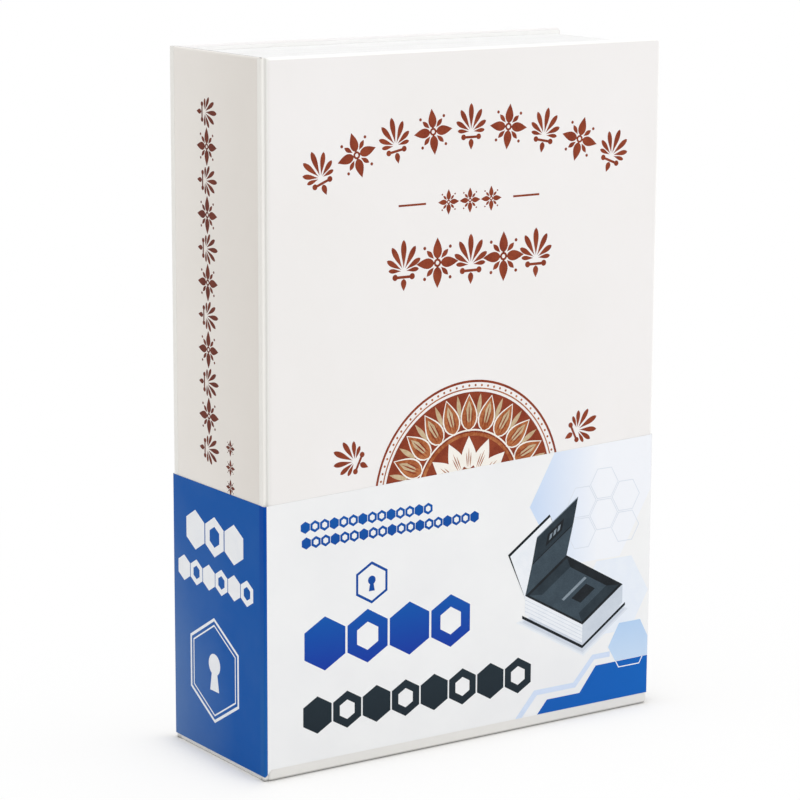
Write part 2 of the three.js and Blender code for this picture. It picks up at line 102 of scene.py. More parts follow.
def new_node(tree, kind, output, inputs, **settings):
    """An output of a new node. Each input takes a value or another node's output."""
    node = tree.nodes.new("ShaderNode" + kind)
    for setting, value in settings.items():
        setattr(node, setting, value)
    for socket, value in inputs.items():
        if isinstance(value, bpy.types.NodeSocket):
            tree.links.new(value, node.inputs[socket])
        else:
            node.inputs[socket].default_value = value
    return node.outputs[output]


class Finish:
    """One material: a shader with fixed values, and short calls for the nodes on it. Its colours
    are on the screen's scale."""

    def __init__(self, name, colour, roughness, gloss=0.5, values=None):
        self.material = bpy.data.materials.new(name)
        self.material.use_nodes = True
        self.material.diffuse_color = tone(*colour)
        self.tree = self.material.node_tree
        self.shader = self.tree.nodes["Principled BSDF"]
        fixed = {"Base Color": tone(*colour), "Roughness": roughness, "Specular IOR Level": gloss}
        for socket, value in {**fixed, **(values or {})}.items():
            self.shader.inputs[socket].default_value = value
        self.place = self.node("TexCoord", "Object", {})
        self.relief = None

    def node(self, kind, output, inputs, **settings):
        return new_node(self.tree, kind, output, inputs, **settings)

    def noise(self, size, detail=2.0, stretch=None):
        """Noise from 0 to 1 whose features are about that size. With a scale for each axis, they are
        long where it is small."""
        place = self.place
        if stretch:
            place = self.node("Mapping", "Vector", {"Vector": place, "Scale": stretch})
        return self.node("TexNoise", "Fac", {"Vector": place, "Scale": 1 / size, "Detail": detail})

    def height(self, axis, start, end):
        """A value that goes from 0 at one place on an axis to 1 at another."""
        return self.spread(self.node("SeparateXYZ", axis, {"Vector": self.place}), start, end)

    def spread(self, value, start, end, low=0.0, high=1.0):
        """A value's range from start to end, as one from low to high."""
        limits = {"From Min": start, "From Max": end, "To Min": low, "To Max": high}
        return self.node("MapRange", "Result", {"Value": value, **limits})

    def calc(self, operation, first, second=0.0):
        return self.node("Math", "Value", {0: first, 1: second}, operation=operation)

    def times(self, first, second):
        return self.calc("MULTIPLY", first, second)

    def mixed(self, first, weight, second, other_weight):
        """The sum of two values, each with its weight."""
        return self.calc("ADD", self.times(first, weight), self.times(second, other_weight))

    def colours(self, share, first, second):
        """The base colour: the first where the share is 0, the second where it is 1."""
        sides = [tone(*side) if isinstance(side, tuple) else side for side in (first, second)]
        factor, colour_a, colour_b, result = 0, 6, 7, 2
        sockets = {factor: share, colour_a: sides[0], colour_b: sides[1]}
        colour = self.node("Mix", result, sockets, data_type="RGBA")
        self.tree.links.new(colour, self.shader.inputs["Base Color"])
        return colour

    def dullness(self, share, low, high):
        """The roughness, between two values."""
        self.tree.links.new(self.spread(share, 0.0, 1.0, low, high), self.shader.inputs["Roughness"])

    def bump(self, value, depth, strength=1.0):
        """Relief of that depth, on top of the relief before it."""
        sockets = {"Height": value, "Distance": depth, "Strength": strength}
        if self.relief:
            sockets["Normal"] = self.relief
        self.relief = self.node("Bump", "Normal", sockets)
        self.tree.links.new(self.relief, self.shader.inputs["Normal"])


# Finishes of the outside

def laminate_finish(name, first, second, groove=None, shade_span=None):
    """White film on board: satin, with a fine orange peel and faint clouding, and painted shade at the foot.
    Between the two places of a groove along the cover's joint it has painted shade too, and a painted
    contact shadow on the edge that it stands on. Given a span on Y, painted shade darkens it along it."""
    finish = Finish(name, first, 0.34, 0.4)
    cloud = finish.noise(45 * mm, 3.0)
    share = finish.spread(cloud, 0.35, 0.65)
    # Painted shade: darker from one place on Y to another.
    if shade_span:
        share = finish.mixed(share, 0.3, finish.height("Y", *shade_span), 0.7)
    worn = finish.colours(share, first, second)
    # Painted shade: greyer over the lowest few millimetres, towards the floor.
    worn = finish.colours(finish.height("Z", 9 * mm, 2 * mm), worn, (228, 227, 224))
    if groove:
        # Painted shade in the groove beside the cover's joint.
        near = finish.height("X", *groove)
        worn = finish.colours(finish.times(near, near), worn, (229, 228, 225))
        # Painted contact shadow: dark along the lowest millimetre, where the edge meets the floor.
        finish.colours(finish.height("Z", 1.0 * mm, 0.3 * mm), worn, (152, 151, 149))
    scuffs = finish.noise(2.5 * mm, 6.0, (1.0, 1.0, 0.25))
    finish.dullness(finish.times(cloud, scuffs), 0.26, 0.52)
    finish.bump(finish.noise(0.9 * mm), 0.012 * mm, 0.6)
    finish.bump(finish.noise(28 * mm, 1.0), 0.15 * mm, 0.25)
    return finish.material


def coated(finish, smooth, dull):
    """Coated paper: a calm gloss, and slight waves from the fibres."""
    finish.dullness(finish.noise(4 * mm, 5.0), smooth, dull)
    finish.bump(finish.noise(0.5 * mm, 3.0), 0.008 * mm, 0.6)
    finish.bump(finish.noise(22 * mm, 1.0, (1.0, 1.0, 0.6)), 0.12 * mm, 0.3)
    return finish.material


def white_finish(name, first, second):
    """White coated paper with a little tone from the print."""
    finish = Finish(name, first, 0.3, 0.3)
    finish.colours(finish.spread(finish.noise(30 * mm, 3.0), 0.3, 0.7), first, second)
    return coated(finish, 0.24, 0.44)


def blue_finish(name, deep, pale, gloss, side_sheen=False):
    """Blue coated paper with a painted sheen that makes it a little paler near the tail. With a side
    fade, the painted sheen lies beside the back cover alone."""
    finish = Finish(name, deep, 0.36, gloss)
    # Painted sheen: paler towards the tail.
    share = finish.height("Z", 86 * mm, 26 * mm)
    if side_sheen:
        share = finish.times(share, finish.height("Y", -10 * mm, 27 * mm))
    cloud = finish.spread(finish.noise(26 * mm, 3.0), 0.3, 0.7, -0.12, 0.12)
    finish.colours(finish.calc("ADD", share, cloud), deep, pale)
    return coated(finish, 0.3, 0.5)


def ink_finish(name, dark, light, grain=0.35 * mm):
    """Printing ink, with the grain that the paper gives it."""
    finish = Finish(name, dark, 0.42, 0.08)
    speck = finish.noise(grain, 4.0)
    share = finish.spread(finish.calc("ADD", speck, finish.noise(5 * mm)), 0.75, 1.25)
    finish.colours(share, dark, light)
    finish.dullness(speck, 0.32, 0.54)
    finish.bump(speck, 0.004 * mm, 0.5)
    return finish.material


def shaded_ink(name, low_colour, high_colour, low, high, axis="Z"):
    """Ink whose colour changes from one place on an axis to another."""
    finish = Finish(name, low_colour, 0.34, 0.08)
    finish.colours(finish.height(axis, low, high), low_colour, high_colour)
    speck = finish.noise(0.4 * mm, 3.0)
    finish.dullness(speck, 0.26, 0.44)
    finish.bump(speck, 0.004 * mm, 0.4)
    return finish.material


def page_finish():
    """The cut edges of many leaves: fine lines across the block, a little darker in the gaps."""
    finish = Finish("page_edges", (240, 239, 234), 0.85)
    leaves = finish.noise(0.2 * mm, 2.0, (0.012, 1.0, 0.012))
    clumps = finish.noise(1.3 * mm, 2.0, (0.02, 1.0, 0.02))
    share = finish.mixed(leaves, 0.75, clumps, 0.25)
    finish.colours(finish.spread(share, 0.3, 0.6), (228, 228, 227), (244, 244, 244))
    finish.bump(leaves, 0.06 * mm, 0.8)
    finish.bump(finish.noise(0.3 * mm, 3.0), 0.01 * mm, 0.5)
    return finish.material


# Finishes of the inside

def covering_finish(name, dark, light, wear=0.0):
    """Grained covering paper. Where it is worn, pale fibres show through in patches."""
    finish = Finish(name, dark, 0.7, 0.35)
    grain_size = 0.55 * mm
    distance = finish.node("TexVoronoi", "Distance", {"Vector": finish.place, "Scale": 1 / grain_size})
    grain = finish.spread(distance, 0.0, 0.7, 1.0, 0.0)
    share = finish.mixed(finish.noise(24 * mm, 3.0), 0.6, grain, 0.4)
    covering = finish.colours(finish.spread(share, 0.2, 0.8), dark, light)
    if wear:
        patches = finish.spread(finish.noise(3.5 * mm, 5.0), 0.5, 0.72, 0.0, wear)
        finish.colours(patches, covering, (126, 134, 142))
    finish.dullness(grain, 0.82, 0.58)
    finish.bump(grain, 0.03 * mm, 0.7)
    finish.bump(finish.noise(0.12 * mm), 0.008 * mm, 0.5)
    return finish.material


def flock_finish(name, dark, light):
    """Flocked lining: short dense fibres with a soft sheen, brushed a little lighter in places."""
    finish = Finish(name, dark, 0.95, 0.1, {"Sheen Weight": 0.3, "Sheen Roughness": 0.45})
    nap = finish.noise(0.28 * mm, 4.0)
    brushed = finish.noise(9 * mm, 6.0, (1.0, 1.0, 0.7))
    share = finish.mixed(nap, 0.75, brushed, 0.35)
    finish.colours(finish.spread(share, 0.32, 0.78), dark, light)
    finish.bump(nap, 0.09 * mm)
    finish.bump(finish.noise(1.1 * mm, 3.0), 0.06 * mm, 0.4)
    return finish.material


def cloth_finish(name, dark, light):
    """Woven book cloth: threads both ways, dark in the gaps between them."""
    finish = Finish(name, dark, 0.9, 0.2)
    pitch = 0.45 * mm
    threads = {"Vector": finish.place, "Scale": math.pi / (10 * pitch), "Distortion": 0.3}
    across, along = [finish.node("TexWave", "Fac", threads, bands_direction=axis) for axis in "XZ"]
    weave = finish.calc("ADD", across, along)
    slub = finish.noise(1.2 * mm, 4.0, (1.0, 1.0, 0.15))
    share = finish.mixed(weave, 0.35, slub, 0.5)
    finish.colours(finish.spread(share, 0.25, 0.85), dark, light)
    finish.bump(weave, 0.05 * mm, 0.8)
    finish.bump(slub, 0.03 * mm, 0.5)
    return finish.material


def plastic_finish(name, dark, light, rough, grain):
    """Moulded plastic: spark-grained, with rubbed places that are a little smoother."""
    finish = Finish(name, dark, rough, 0.45)
    rubbed = finish.noise(9 * mm, 4.0)
    finish.colours(finish.spread(rubbed, 0.35, 0.75), dark, light)
    finish.dullness(rubbed, rough + 0.12, rough - 0.14)
    finish.bump(finish.noise(grain, 3.0), 0.02 * mm, 0.6)
    return finish.material


def steel_finish(name, dark, light, rough):
    """Nickel-plated sheet steel with fine lines along the rolling direction and faint smudges."""
    finish = Finish(name, light, rough, values={"Metallic": 1.0})
    lines = finish.noise(0.12 * mm, 3.0, (1.0, 1.0, 0.06))
    share = finish.mixed(lines, 0.5, finish.noise(5 * mm, 5.0), 0.6)
    finish.colours(finish.spread(share, 0.35, 0.8), dark, light)
    finish.dullness(share, rough - 0.1, rough + 0.18)
    finish.bump(lines, 0.006 * mm, 0.5)
    return finish.material


def endpaper_finish():
    """Uncoated paper with fibres and a hint of the glue under it."""
    finish = Finish("endpaper", (242, 242, 239), 0.8, 0.25)
    fibres = finish.noise(0.7 * mm, 6.0, (1.0, 1.0, 0.35))
    glue = finish.noise(16 * mm, 4.0)
    share = finish.mixed(fibres, 0.5, glue, 0.5)
    finish.colours(finish.spread(share, 0.3, 0.7), (236, 235, 231), (245, 245, 243))
    finish.dullness(fibres, 0.72, 0.9)
    finish.bump(fibres, 0.015 * mm, 0.6)
    finish.bump(glue, 0.12 * mm, 0.35)
    return finish.material


# Where the painted shade of the joint's groove lies, on the cover and on the joint's laminate.
cover_groove_shade = (front_low.x + 2.5 * mm, front_low.x + 0.2 * mm)
joint_groove_shade = (front_low.x - 0.7 * mm, front_low.x - 0.1 * mm)
spine_sides = (spine_high.y, spine_low.y)
laminate = laminate_finish("white_laminate", (240, 238, 238), (238, 236, 235), cover_groove_shade)
# The spine's laminate is a darker, warmer copy: painted shade, deepest beside the front joint.
spine_shade_laminate = laminate_finish("spine_shaded_laminate", (241, 237, 232), (230, 225, 219), shade_span=spine_sides)
# The joint's laminate is a lighter copy: painted highlight on its ridge, with painted shade in its groove.
joint_laminate = laminate_finish("joint_laminate", (243, 242, 238), (240, 238, 234), joint_groove_shade)
# Painted highlight: the covers' rounded outer edges are a near-white copy of the laminate.
edge_highlight_laminate = laminate_finish("edge_highlight_laminate", (253, 253, 252), (250, 250, 248), cover_groove_shade)
# Painted reflection: the covers' inner faces are a lighter copy of the laminate.
inner_reflection_laminate = laminate_finish("inner_reflection_laminate", (248, 248, 247), (246, 246, 244))
# Painted shade: the spine's rim round its edges is dark grey.
rim_shade_laminate = laminate_finish("rim_shade_laminate", (168, 167, 165), (180, 179, 176))
band_white = white_finish("band_white", (241, 242, 243), (236, 237, 239))
band_blue = blue_finish("band_blue", (12, 87, 169), (80, 118, 177), 0.05, True)
# Painted shade: a darker copy of the band's blue for the corner, which lacks the spine's reflection.
band_blue_corner_shade = blue_finish("band_blue_corner_shade", (9, 72, 163), (34, 96, 169), 0.03)
page_paper = page_finish()
slate_paper = covering_finish("slate_paper", (50, 60, 70), (60, 71, 82))
slate_edges = covering_finish("slate_paper_edges", (56, 67, 77), (72, 83, 94), 0.75)
slate_flock = flock_finish("slate_flock", (50, 61, 71), (84, 97, 108))
hinge_cloth = cloth_finish("hinge_cloth", (38, 49, 59), (58, 71, 82))
black_plastic = plastic_finish("black_plastic", (24, 26, 29), (34, 37, 41), 0.42, 0.22 * mm)
black_plastic_edges = plastic_finish("black_plastic_edges", (30, 33, 36), (44, 47, 51), 0.34, 0.3 * mm)
dial_plastic = plastic_finish("dial_plastic", (30, 33, 37), (40, 43, 48), 0.34, 0.3 * mm)
nickel = steel_finish("nickel_steel", (168, 172, 178), (202, 205, 209), 0.26)
spring_steel = steel_finish("spring_steel", (140, 146, 154), (180, 185, 192), 0.3)
endpaper = endpaper_finish()

coarse_grain = 0.8 * mm
inks = {row[0]: ink_finish(*row) for row in (
    ("brown_ink", (126, 52, 34), (148, 70, 45)),
    ("dark_brown_ink", (98, 42, 32), (118, 56, 40)),
    ("umber_ink", (150, 74, 40), (186, 120, 76), coarse_grain),
    ("tan_ink", (186, 160, 124), (206, 186, 154), coarse_grain),
    ("cream_ink", (240, 236, 228), (246, 243, 237)),
    ("back_stripe_ink", (18, 92, 180), (22, 98, 186)),
    ("pale_line_ink", (206, 220, 243), (212, 225, 246)),
    ("white_ink", (240, 243, 248), (246, 248, 251)),
    ("faint_sky_ink", (228, 235, 246), (233, 239, 247)),
    ("honeycomb_ink", (214, 221, 232), (222, 228, 237)),
    ("digit_ink", (226, 228, 228), (240, 241, 241)),
    ("drawing_black", (26, 30, 34), (36, 41, 46)),
    ("drawing_dark", (40, 50, 58), (50, 61, 69)),
    ("drawing_middle", (56, 68, 78), (66, 80, 90)),
    ("drawing_light", (120, 134, 146), (140, 152, 162)),
    ("drawing_page", (230, 235, 242), (238, 241, 246)),
    ("drawing_page_shade", (196, 205, 217), (206, 214, 225)),
    ("drawing_shade_0", (229, 234, 241), (234, 238, 243)),
    ("drawing_shade_1", (216, 223, 233), (222, 228, 237)),
    ("drawing_shade_2", (200, 208, 221), (207, 214, 226)),
)}
inks.update({row[0]: shaded_ink(*row) for row in (
    ("sky_ink", (18, 74, 156), (16, 88, 170), 74 * mm, 88 * mm),
    ("gradient_blue_ink", (26, 58, 160), (16, 90, 174), 34 * mm, 56 * mm),
    ("slate_ink", (32, 42, 50), (38, 50, 58), 12 * mm, 28 * mm),
    ("stripe_blue_ink", (20, 92, 180), (16, 98, 186), 30 * mm, 80 * mm, "X"),
    ("hexagon_ink", (200, 220, 243), (180, 208, 240), 16 * mm, 32 * mm),
    ("pale_sky_ink", (202, 219, 244), (240, 243, 249), 28 * mm, 56 * mm, "X"),
)})


# Meshes

def placed(name, data):
    """A new object in the scene."""
    thing = bpy.data.objects.new(name, data)
    bpy.context.scene.collection.objects.link(thing)
    return thing


def mesh_of(work, name):
    """A mesh from a bmesh that isn't needed any more."""
    mesh = bpy.data.meshes.new(name)
    work.to_mesh(mesh)
    work.free()
    return mesh


def mesh_piece(name, vertices, faces, materials, indices=None, smooth_to=0):
    """A piece from points and faces, turned outwards, with its materials. It is smooth where two
    faces meet at less than an angle in degrees."""
    mesh = bpy.data.meshes.new(name)
    mesh.from_pydata([tuple(v) for v in vertices], [], faces)
    for material in materials:
        mesh.materials.append(material)
    if indices:
        mesh.polygons.foreach_set("material_index", indices)
    mesh.validate()
    work = bmesh.new()
    work.from_mesh(mesh)
    bmesh.ops.recalc_face_normals(work, faces=work.faces)
    work.to_mesh(mesh)
    work.free()
    if smooth_to:
        mesh.shade_smooth()
        mesh.set_sharp_from_angle(angle=math.radians(smooth_to))
    else:
        mesh.shade_flat()
    return placed(name, mesh)


def lofted(name, rings, materials, smooth_to, index_of=lambda level, n: 0, caps=(0, 0)):
    """A closed body through rings of points, with a face at each end. The index gives the material
    of the face after a ring and a point of it, and the caps give the ends' materials."""
    count = len(rings[0])
    vertices = [point for ring in rings for point in ring]
    faces = [tuple(range(count)), tuple(range(len(vertices) - count, len(vertices)))]
    indices = list(caps)
    for level in range(len(rings) - 1):
        for n in range(count):
            a, b = level * count + n, level * count + (n + 1) % count
            faces.append((a, b, b + count, a + count))
            indices.append(index_of(level, n))
    return mesh_piece(name, vertices, faces, materials, indices, smooth_to)


def flat_faces_flat(piece):
    """Keeps large faces flat beside their rounded edges."""
    piece.modifiers.new("weighted_normals", "WEIGHTED_NORMAL").keep_sharp = True
    return piece


def rounded_outline(width, height, right_corner, left_corner, steps=6):
    """The points of a rectangle with rounded corners, round its middle."""
    points = []
    for turn, (a, b) in enumerate(((1, 1), (-1, 1), (-1, -1), (1, -1))):
        corner = right_corner if a > 0 else left_corner
        for step in range(steps + 1):
            angle = (turn + step / steps) * math.pi / 2
            points.append((
                a * (width / 2 - corner) + corner * math.cos(angle),
                b * (height / 2 - corner) + corner * math.sin(angle),
            ))
    return points


def plate(name, low, high, axis, outside, edge, corners, materials):
    """A plate, thin along one axis, with soft edges all round. Its outside face is at the axis's
    low end, -1, or its high end, 1. The two corner radii are for its high and its low side. The
    materials are the outside's and inner edges', the outer edges', the rim's and the inner face's."""
    size, middle = high - low, (low + high) / 2
    across = [a for a in range(3) if a != axis]
    steps = 5
    turns = [step / steps * math.pi / 2 for step in range(steps + 1)]
    levels = [(edge * (1 - math.sin(turn)), edge * (1 - math.cos(turn))) for turn in turns]
    levels += [(inset, size[axis] - depth) for inset, depth in reversed(levels)]
    rings = []
    for inset, depth in levels:
        radii = [max(corner - inset, corner / 8) for corner in corners]
        ring = []
        for a, b in rounded_outline(size[across[0]] - 2 * inset, size[across[1]] - 2 * inset, *radii):
            point = middle.copy()
            point[across[0]] += a
            point[across[1]] += b
            point[axis] += outside * (size[axis] / 2 - depth)
            ring.append(point)
        rings.append(ring)
    bands = [1] * steps + [2] + [0] * steps
    caps = (0, len(materials) - 1)
    return flat_faces_flat(lofted(name, rings, materials, 180, lambda level, n: bands[level], caps))


def cut_across(work, direction, places, **settings):
    """Cuts the faces of a bmesh where they cross those places along a direction."""
    for place in places:
        everything = work.verts[:] + work.edges[:] + work.faces[:]
        plane = {"plane_co": Vector(direction) * place, "plane_no": direction}
        bmesh.ops.bisect_plane(work, geom=everything, **plane, **settings)


def rolled(piece, low, high, outside):
    """The board's outside face, rolled inwards beside the joint."""
    wide, deep, cuts = 2.0 * mm, 0.32 * mm, 6
    work = bmesh.new()
    work.from_mesh(piece.data)
    cut_across(work, (1, 0, 0), [low.x + wide * n / cuts for n in range(1, cuts + 1)])
    inner, outer = (high.y, low.y) if outside < 0 else (low.y, high.y)
    for vertex in work.verts:
        near = min(max(1 - (vertex.co.x - low.x) / wide, 0.0), 1.0)
        vertex.co.y -= outside * deep * near * near * (vertex.co.y - inner) / (outer - inner)
    bmesh.ops.dissolve_degenerate(work, dist=0.001 * mm, edges=work.edges[:])
    work.to_mesh(piece.data)
    work.free()


def normals_along(path):
    """The direction square to a path in the XY plane at each of its points, on its right."""
    result = []
    for before, after in zip([path[0], *path], [*path[1:], path[-1]]):
        ahead = (Vector(after) - Vector(before)).normalized()
        result.append(Vector((ahead.y, -ahead.x)))
    return result


def ribbon(name, path, foot, top, thick, materials, colour_of=lambda middle: 0, rows=10):
    """A sheet that stands on edge along a path in the XY plane, its outer face on the path.

    The foot and the top are the heights of its two edges, or give them at a point of the path, and
    colour_of gives the number of the material at a point. The inner face has the last material.
    """
    height = lambda edge, point: edge(point) if callable(edge) else edge
    shares = [row / rows for row in range(rows + 1)]
    rings = []
    for point, out in zip(path, normals_along(path)):
        ring = []
        for depth, climb in ((0.0, shares), (thick, shares[::-1])):
            x, y = Vector(point) - out * depth
            low, high = height(foot, point), height(top, point)
            ring += [(x, y, low * (1 - share) + high * share) for share in climb]
        rings.append(ring)
    outer = [colour_of((Vector(a) + Vector(b)) / 2) for a, b in zip(path, path[1:])]
    inner = range(rows + 1, 2 * rows + 1)
    index_of = lambda level, n: len(materials) - 1 if n in inner else outer[level]
    return lofted(name, rings, materials, 50, index_of)


def rounded_path(corners, radius, steps=6):
    """Straight runs between points in the XY plane, with round turns of one radius."""
    points = [Vector(corners[0])]
    for before, corner, after in zip(corners, corners[1:], corners[2:]):
        corner = Vector(corner)
        back = (Vector(before) - corner).normalized()
        ahead = (Vector(after) - corner).normalized()
        half = back.angle(ahead) / 2
        middle = corner + (back + ahead).normalized() * (radius / math.sin(half))
        start = corner + back * (radius / math.tan(half)) - middle
        end = corner + ahead * (radius / math.tan(half)) - middle
        turn = start.angle_signed(end)
        for step in range(steps + 1):
            spoke = start.copy()
            spoke.rotate(Matrix.Rotation(-turn * step / steps, 2))
            points.append(middle + spoke)
    points.append(Vector(corners[-1]))
    return [tuple(point) for point in points]


def divided(path, longest):
    """The same path with long runs cut into steps."""
    points = [path[0]]
    for start, end in zip(path, path[1:]):
        start, end = Vector(start), Vector(end)
        count = max(1, math.ceil((end - start).length / longest))
        points += [tuple(start.lerp(end, (n + 1) / count)) for n in range(count)]
    return points


def turned(name, profile, middle, along, material, steps=48, radius_at=lambda angle, radius: radius):
    """A body turned round an axis. The profile holds places along the axis and radii. It starts
    and ends on the axis, or else it closes on itself."""
    along = Vector(along)
    side = Vector((1, 0, 0)) if abs(along.x) < 0.5 else Vector((0, 1, 0))
    other = along.cross(side)
    solid = profile[0][1] == 0
    rows = profile[1:-1] if solid else profile
    vertices, faces = [], []
    for n in range(steps):
        angle = 2 * math.pi * n / steps
        spoke = side * math.cos(angle) + other * math.sin(angle)
        vertices += [middle + along * place + spoke * radius_at(angle, radius) for place, radius in rows]
    count = len(rows)
    for n in range(steps):
        start, following = n * count, (n + 1) % steps * count
        for m in range(count - 1 if solid else count):
            k = (m + 1) % count
            faces.append((start + m, following + m, following + k, start + k))
    if solid:
        for row, place in ((0, profile[0][0]), (count - 1, profile[-1][0])):
            vertices.append(middle + along * place)
            pole = len(vertices) - 1
            faces += [(pole, n * count + row, (n + 1) % steps * count + row) for n in range(steps)]
    return mesh_piece(name, vertices, faces, [material], smooth_to=50)


def cut_by_block(piece, low, high):
    """The piece with a block cut out of it."""
    work = bmesh.new()
    bmesh.ops.create_cube(work, size=1.0)
    middle, size = (low + high) / 2, high - low
    for vertex in work.verts:
        vertex.co = middle + Vector(a * b for a, b in zip(vertex.co, size))
    cutter = placed("cutter", mesh_of(work, "cutter"))
    modifier = piece.modifiers.new("cut", "BOOLEAN")
    modifier.operation = "DIFFERENCE"
    modifier.solver = "EXACT"
    modifier.object = cutter
    bpy.context.view_layer.update()
    seen = piece.evaluated_get(bpy.context.evaluated_depsgraph_get())
    result = bpy.data.meshes.new_from_object(seen)
    piece.modifiers.clear()
    piece.data = result
    bpy.data.meshes.remove(cutter.data)
    piece.data.set_sharp_from_angle(angle=math.radians(40))
    return piece


def fit(piece, body, slot, *nodes):
    """Puts a piece on its body and hides the solids that it stands for."""
    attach(piece, body)
    if nodes:
        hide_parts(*nodes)
    return piece


def bend(piece, bodies, slot, start, end, *nodes):
    """Hides the solids that a piece stands for and bakes its place into its mesh."""
    if nodes:
        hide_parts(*nodes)
    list(bodies)
    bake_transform(piece)


def refined(node, ending, body, slot, materials, edge, steps=2):
    """A node's own solid with soft edges, which take the last of the materials."""
    work = bmesh.new()
    work.from_mesh(frame["nodes"][node].data)
    bmesh.ops.remove_doubles(work, verts=work.verts, dist=0.001 * mm)
    bmesh.ops.dissolve_limit(work, angle_limit=math.radians(1), verts=work.verts, edges=work.edges)
    sharp = [e for e in work.edges if len(e.link_faces) == 2 and e.calc_face_angle(0) > math.radians(30)]
    for face in work.faces:
        face.material_index = 0
    bmesh.ops.bevel(
        work, geom=sharp, offset=edge, offset_type="OFFSET", segments=steps, profile=0.5,
        affect="EDGES", clamp_overlap=True, material=len(materials) - 1,
    )
    bmesh.ops.recalc_face_normals(work, faces=work.faces)
    mesh = mesh_of(work, node + ending)
    for material in materials:
        mesh.materials.append(material)
    mesh.shade_smooth()
    return fit(flat_faces_flat(placed(mesh.name, mesh)), body, slot, node)


# Case

board_edge = 0.8 * mm
board_corner = 1.5 * mm
hinge_corner = 0.45 * mm


def make_boards():
    """Three boards wrapped in laminate. The covers' corners are square beside the joint."""
    cover = [laminate, edge_highlight_laminate, edge_highlight_laminate, inner_reflection_laminate]
    for side, body, low, high, outside in (
        ("front_cover", "front_cover", front_low, front_high, -1),
        ("back_cover", "box", back_low, back_high, 1),
    ):
        corners = (board_corner, hinge_corner)
        piece = plate(side + "_wrapped", low, high, 1, outside, board_edge, corners, cover)
        rolled(piece, low, high, outside)
        fit(piece, body, "case_laminate", side + "_board")
    spine = [spine_shade_laminate, spine_shade_laminate, rim_shade_laminate, spine_shade_laminate]
    corners = (hinge_corner, hinge_corner)
    piece = plate("spine_wrapped", spine_low, spine_high, 0, -1, board_edge, corners, spine)
    fit(piece, "box", "case_laminate", "spine_board")


def joint_path(side):
    """The laminate between the spine and a cover, seen from the head: a thin crease beside the
    spine, a round ridge and a groove beside the cover. Side is -1 in front and 1 at the back."""
    turns = ((101, 1.94), (103, 1.45), (108, 1.12), (122, 0.8), (145, 0.62), (170, 0.56), (195, 0.56),
             (220, 0.58), (245, 0.6), (268, 0.58), (288, 0.54), (306, 0.56), (318, 0.72), (325, 1.04))
    middle = Vector((cover_axis.x, -side * cover_axis.y))
    points = []
    for angle, radius in turns:
        turn = math.radians(angle)
        x = middle.x + radius * mm * math.cos(turn)
        points.append((x, middle.y - side * radius * mm * math.sin(turn)))
    return points


def make_joints():
    """The laminate of both joints."""
    film, inset = 0.15 * mm, 0.1 * mm
    foot, top = front_low.z + inset, front_high.z - inset
    front = ribbon("front_joint_laminate", joint_path(-1), foot, top, film, [joint_laminate], rows=2)
    spine_side = cover_axis + Vector((-0.4, 1.2, 0)) * mm
    cover_side = cover_axis + Vector((0.85, -0.6, 0)) * mm
    bend(front, ("box", "front_cover"), "case_laminate", spine_side, cover_side, "front_joint_strip")
    back = ribbon("back_joint_laminate", joint_path(1)[::-1], foot, top, film, [joint_laminate], rows=2)
    fit(back, "box", "case_laminate", "back_joint_strip")


# Paper band

paper = 0.15 * mm
paper_back = 0.1 * mm
outer_front = band_low.y + paper_back
outer_right = band_high.x - paper_back
outer_spine = rear_low.x + paper_back
outer_back = rear_high.y - paper_back
front_start = front_low.x + board_edge
rear_start = spine_low.y + board_edge


def band_top(x):
    """The height of the band's front edge, which climbs from the spine to the fore-edge."""
    near, far = 92.6 * mm, 98.0 * mm
    share = (x - front_low.x) / (band_high.x - front_low.x)
    return near + (far - near) * min(max(share, 0.0), 1.0)


def make_band():
    """The front with its flap, the rear, and the corner beside the cover's joint."""
    longest_step = 12 * mm
    flap_inner = band_high.y - paper_back
    flap_end = outer_right - 25 * mm
    corners = [(front_start, outer_front), (outer_right, outer_front), (outer_right, flap_inner),
               (flap_end, flap_inner)]
    path = divided(rounded_path(corners, 0.45 * mm), longest_step)
    top = lambda point: band_top(point[0])
    front = ribbon("band_front_paper", path, band_low.z, top, paper, [band_white])
    fit(front, "front_cover", "band_paper", "band_front")

    corners = [(rear_high.x, outer_back), (outer_spine, outer_back), (outer_spine, rear_start)]
    path = divided(rounded_path(corners, 0.5 * mm), longest_step)
    white_from = front_low.x + 0.5 * mm
    colour_of = lambda middle: 0 if middle.x < white_from else 1
    rear = ribbon("band_rear_paper", path, rear_low.z, rear_high.z, paper, [band_blue, band_white], colour_of)
    fit(rear, "box", "band_paper", "band_rear")

    corners = [(outer_spine, rear_start), (outer_spine, outer_front), (front_start, outer_front)]
    path = divided(rounded_path(corners, 0.6 * mm, 8), 0.35 * mm)
    corner_white_from = outer_spine + 0.85 * mm
    # The darker copy of the blue starts here: painted shade on the corner strip.
    deep_from = cover_axis.y + 1.7 * mm

    def corner_colour(middle):
        if middle.x > corner_white_from:
            return 2
        return 1 if middle.y < deep_from else 0

    def between(point, at_spine, at_front):
        share = min(max((point[0] - outer_spine) / (front_start - outer_spine), 0.0), 1.0)
        return at_spine * (1 - share) + at_front * share

    foot = lambda point: between(point, rear_low.z, band_low.z)
    top = lambda point: between(point, rear_high.z, band_top(front_start))
    blues = [band_blue, band_blue_corner_shade, band_white]
    corner = ribbon("band_corner_paper", path, foot, top, paper, blues, corner_colour, rows=6)
    start = (outer_spine, rear_start, cover_axis.z)
    end = (front_start, outer_front, cover_axis.z)
    bend(corner, ("box", "front_cover"), "band_paper", start, end)


# Page block

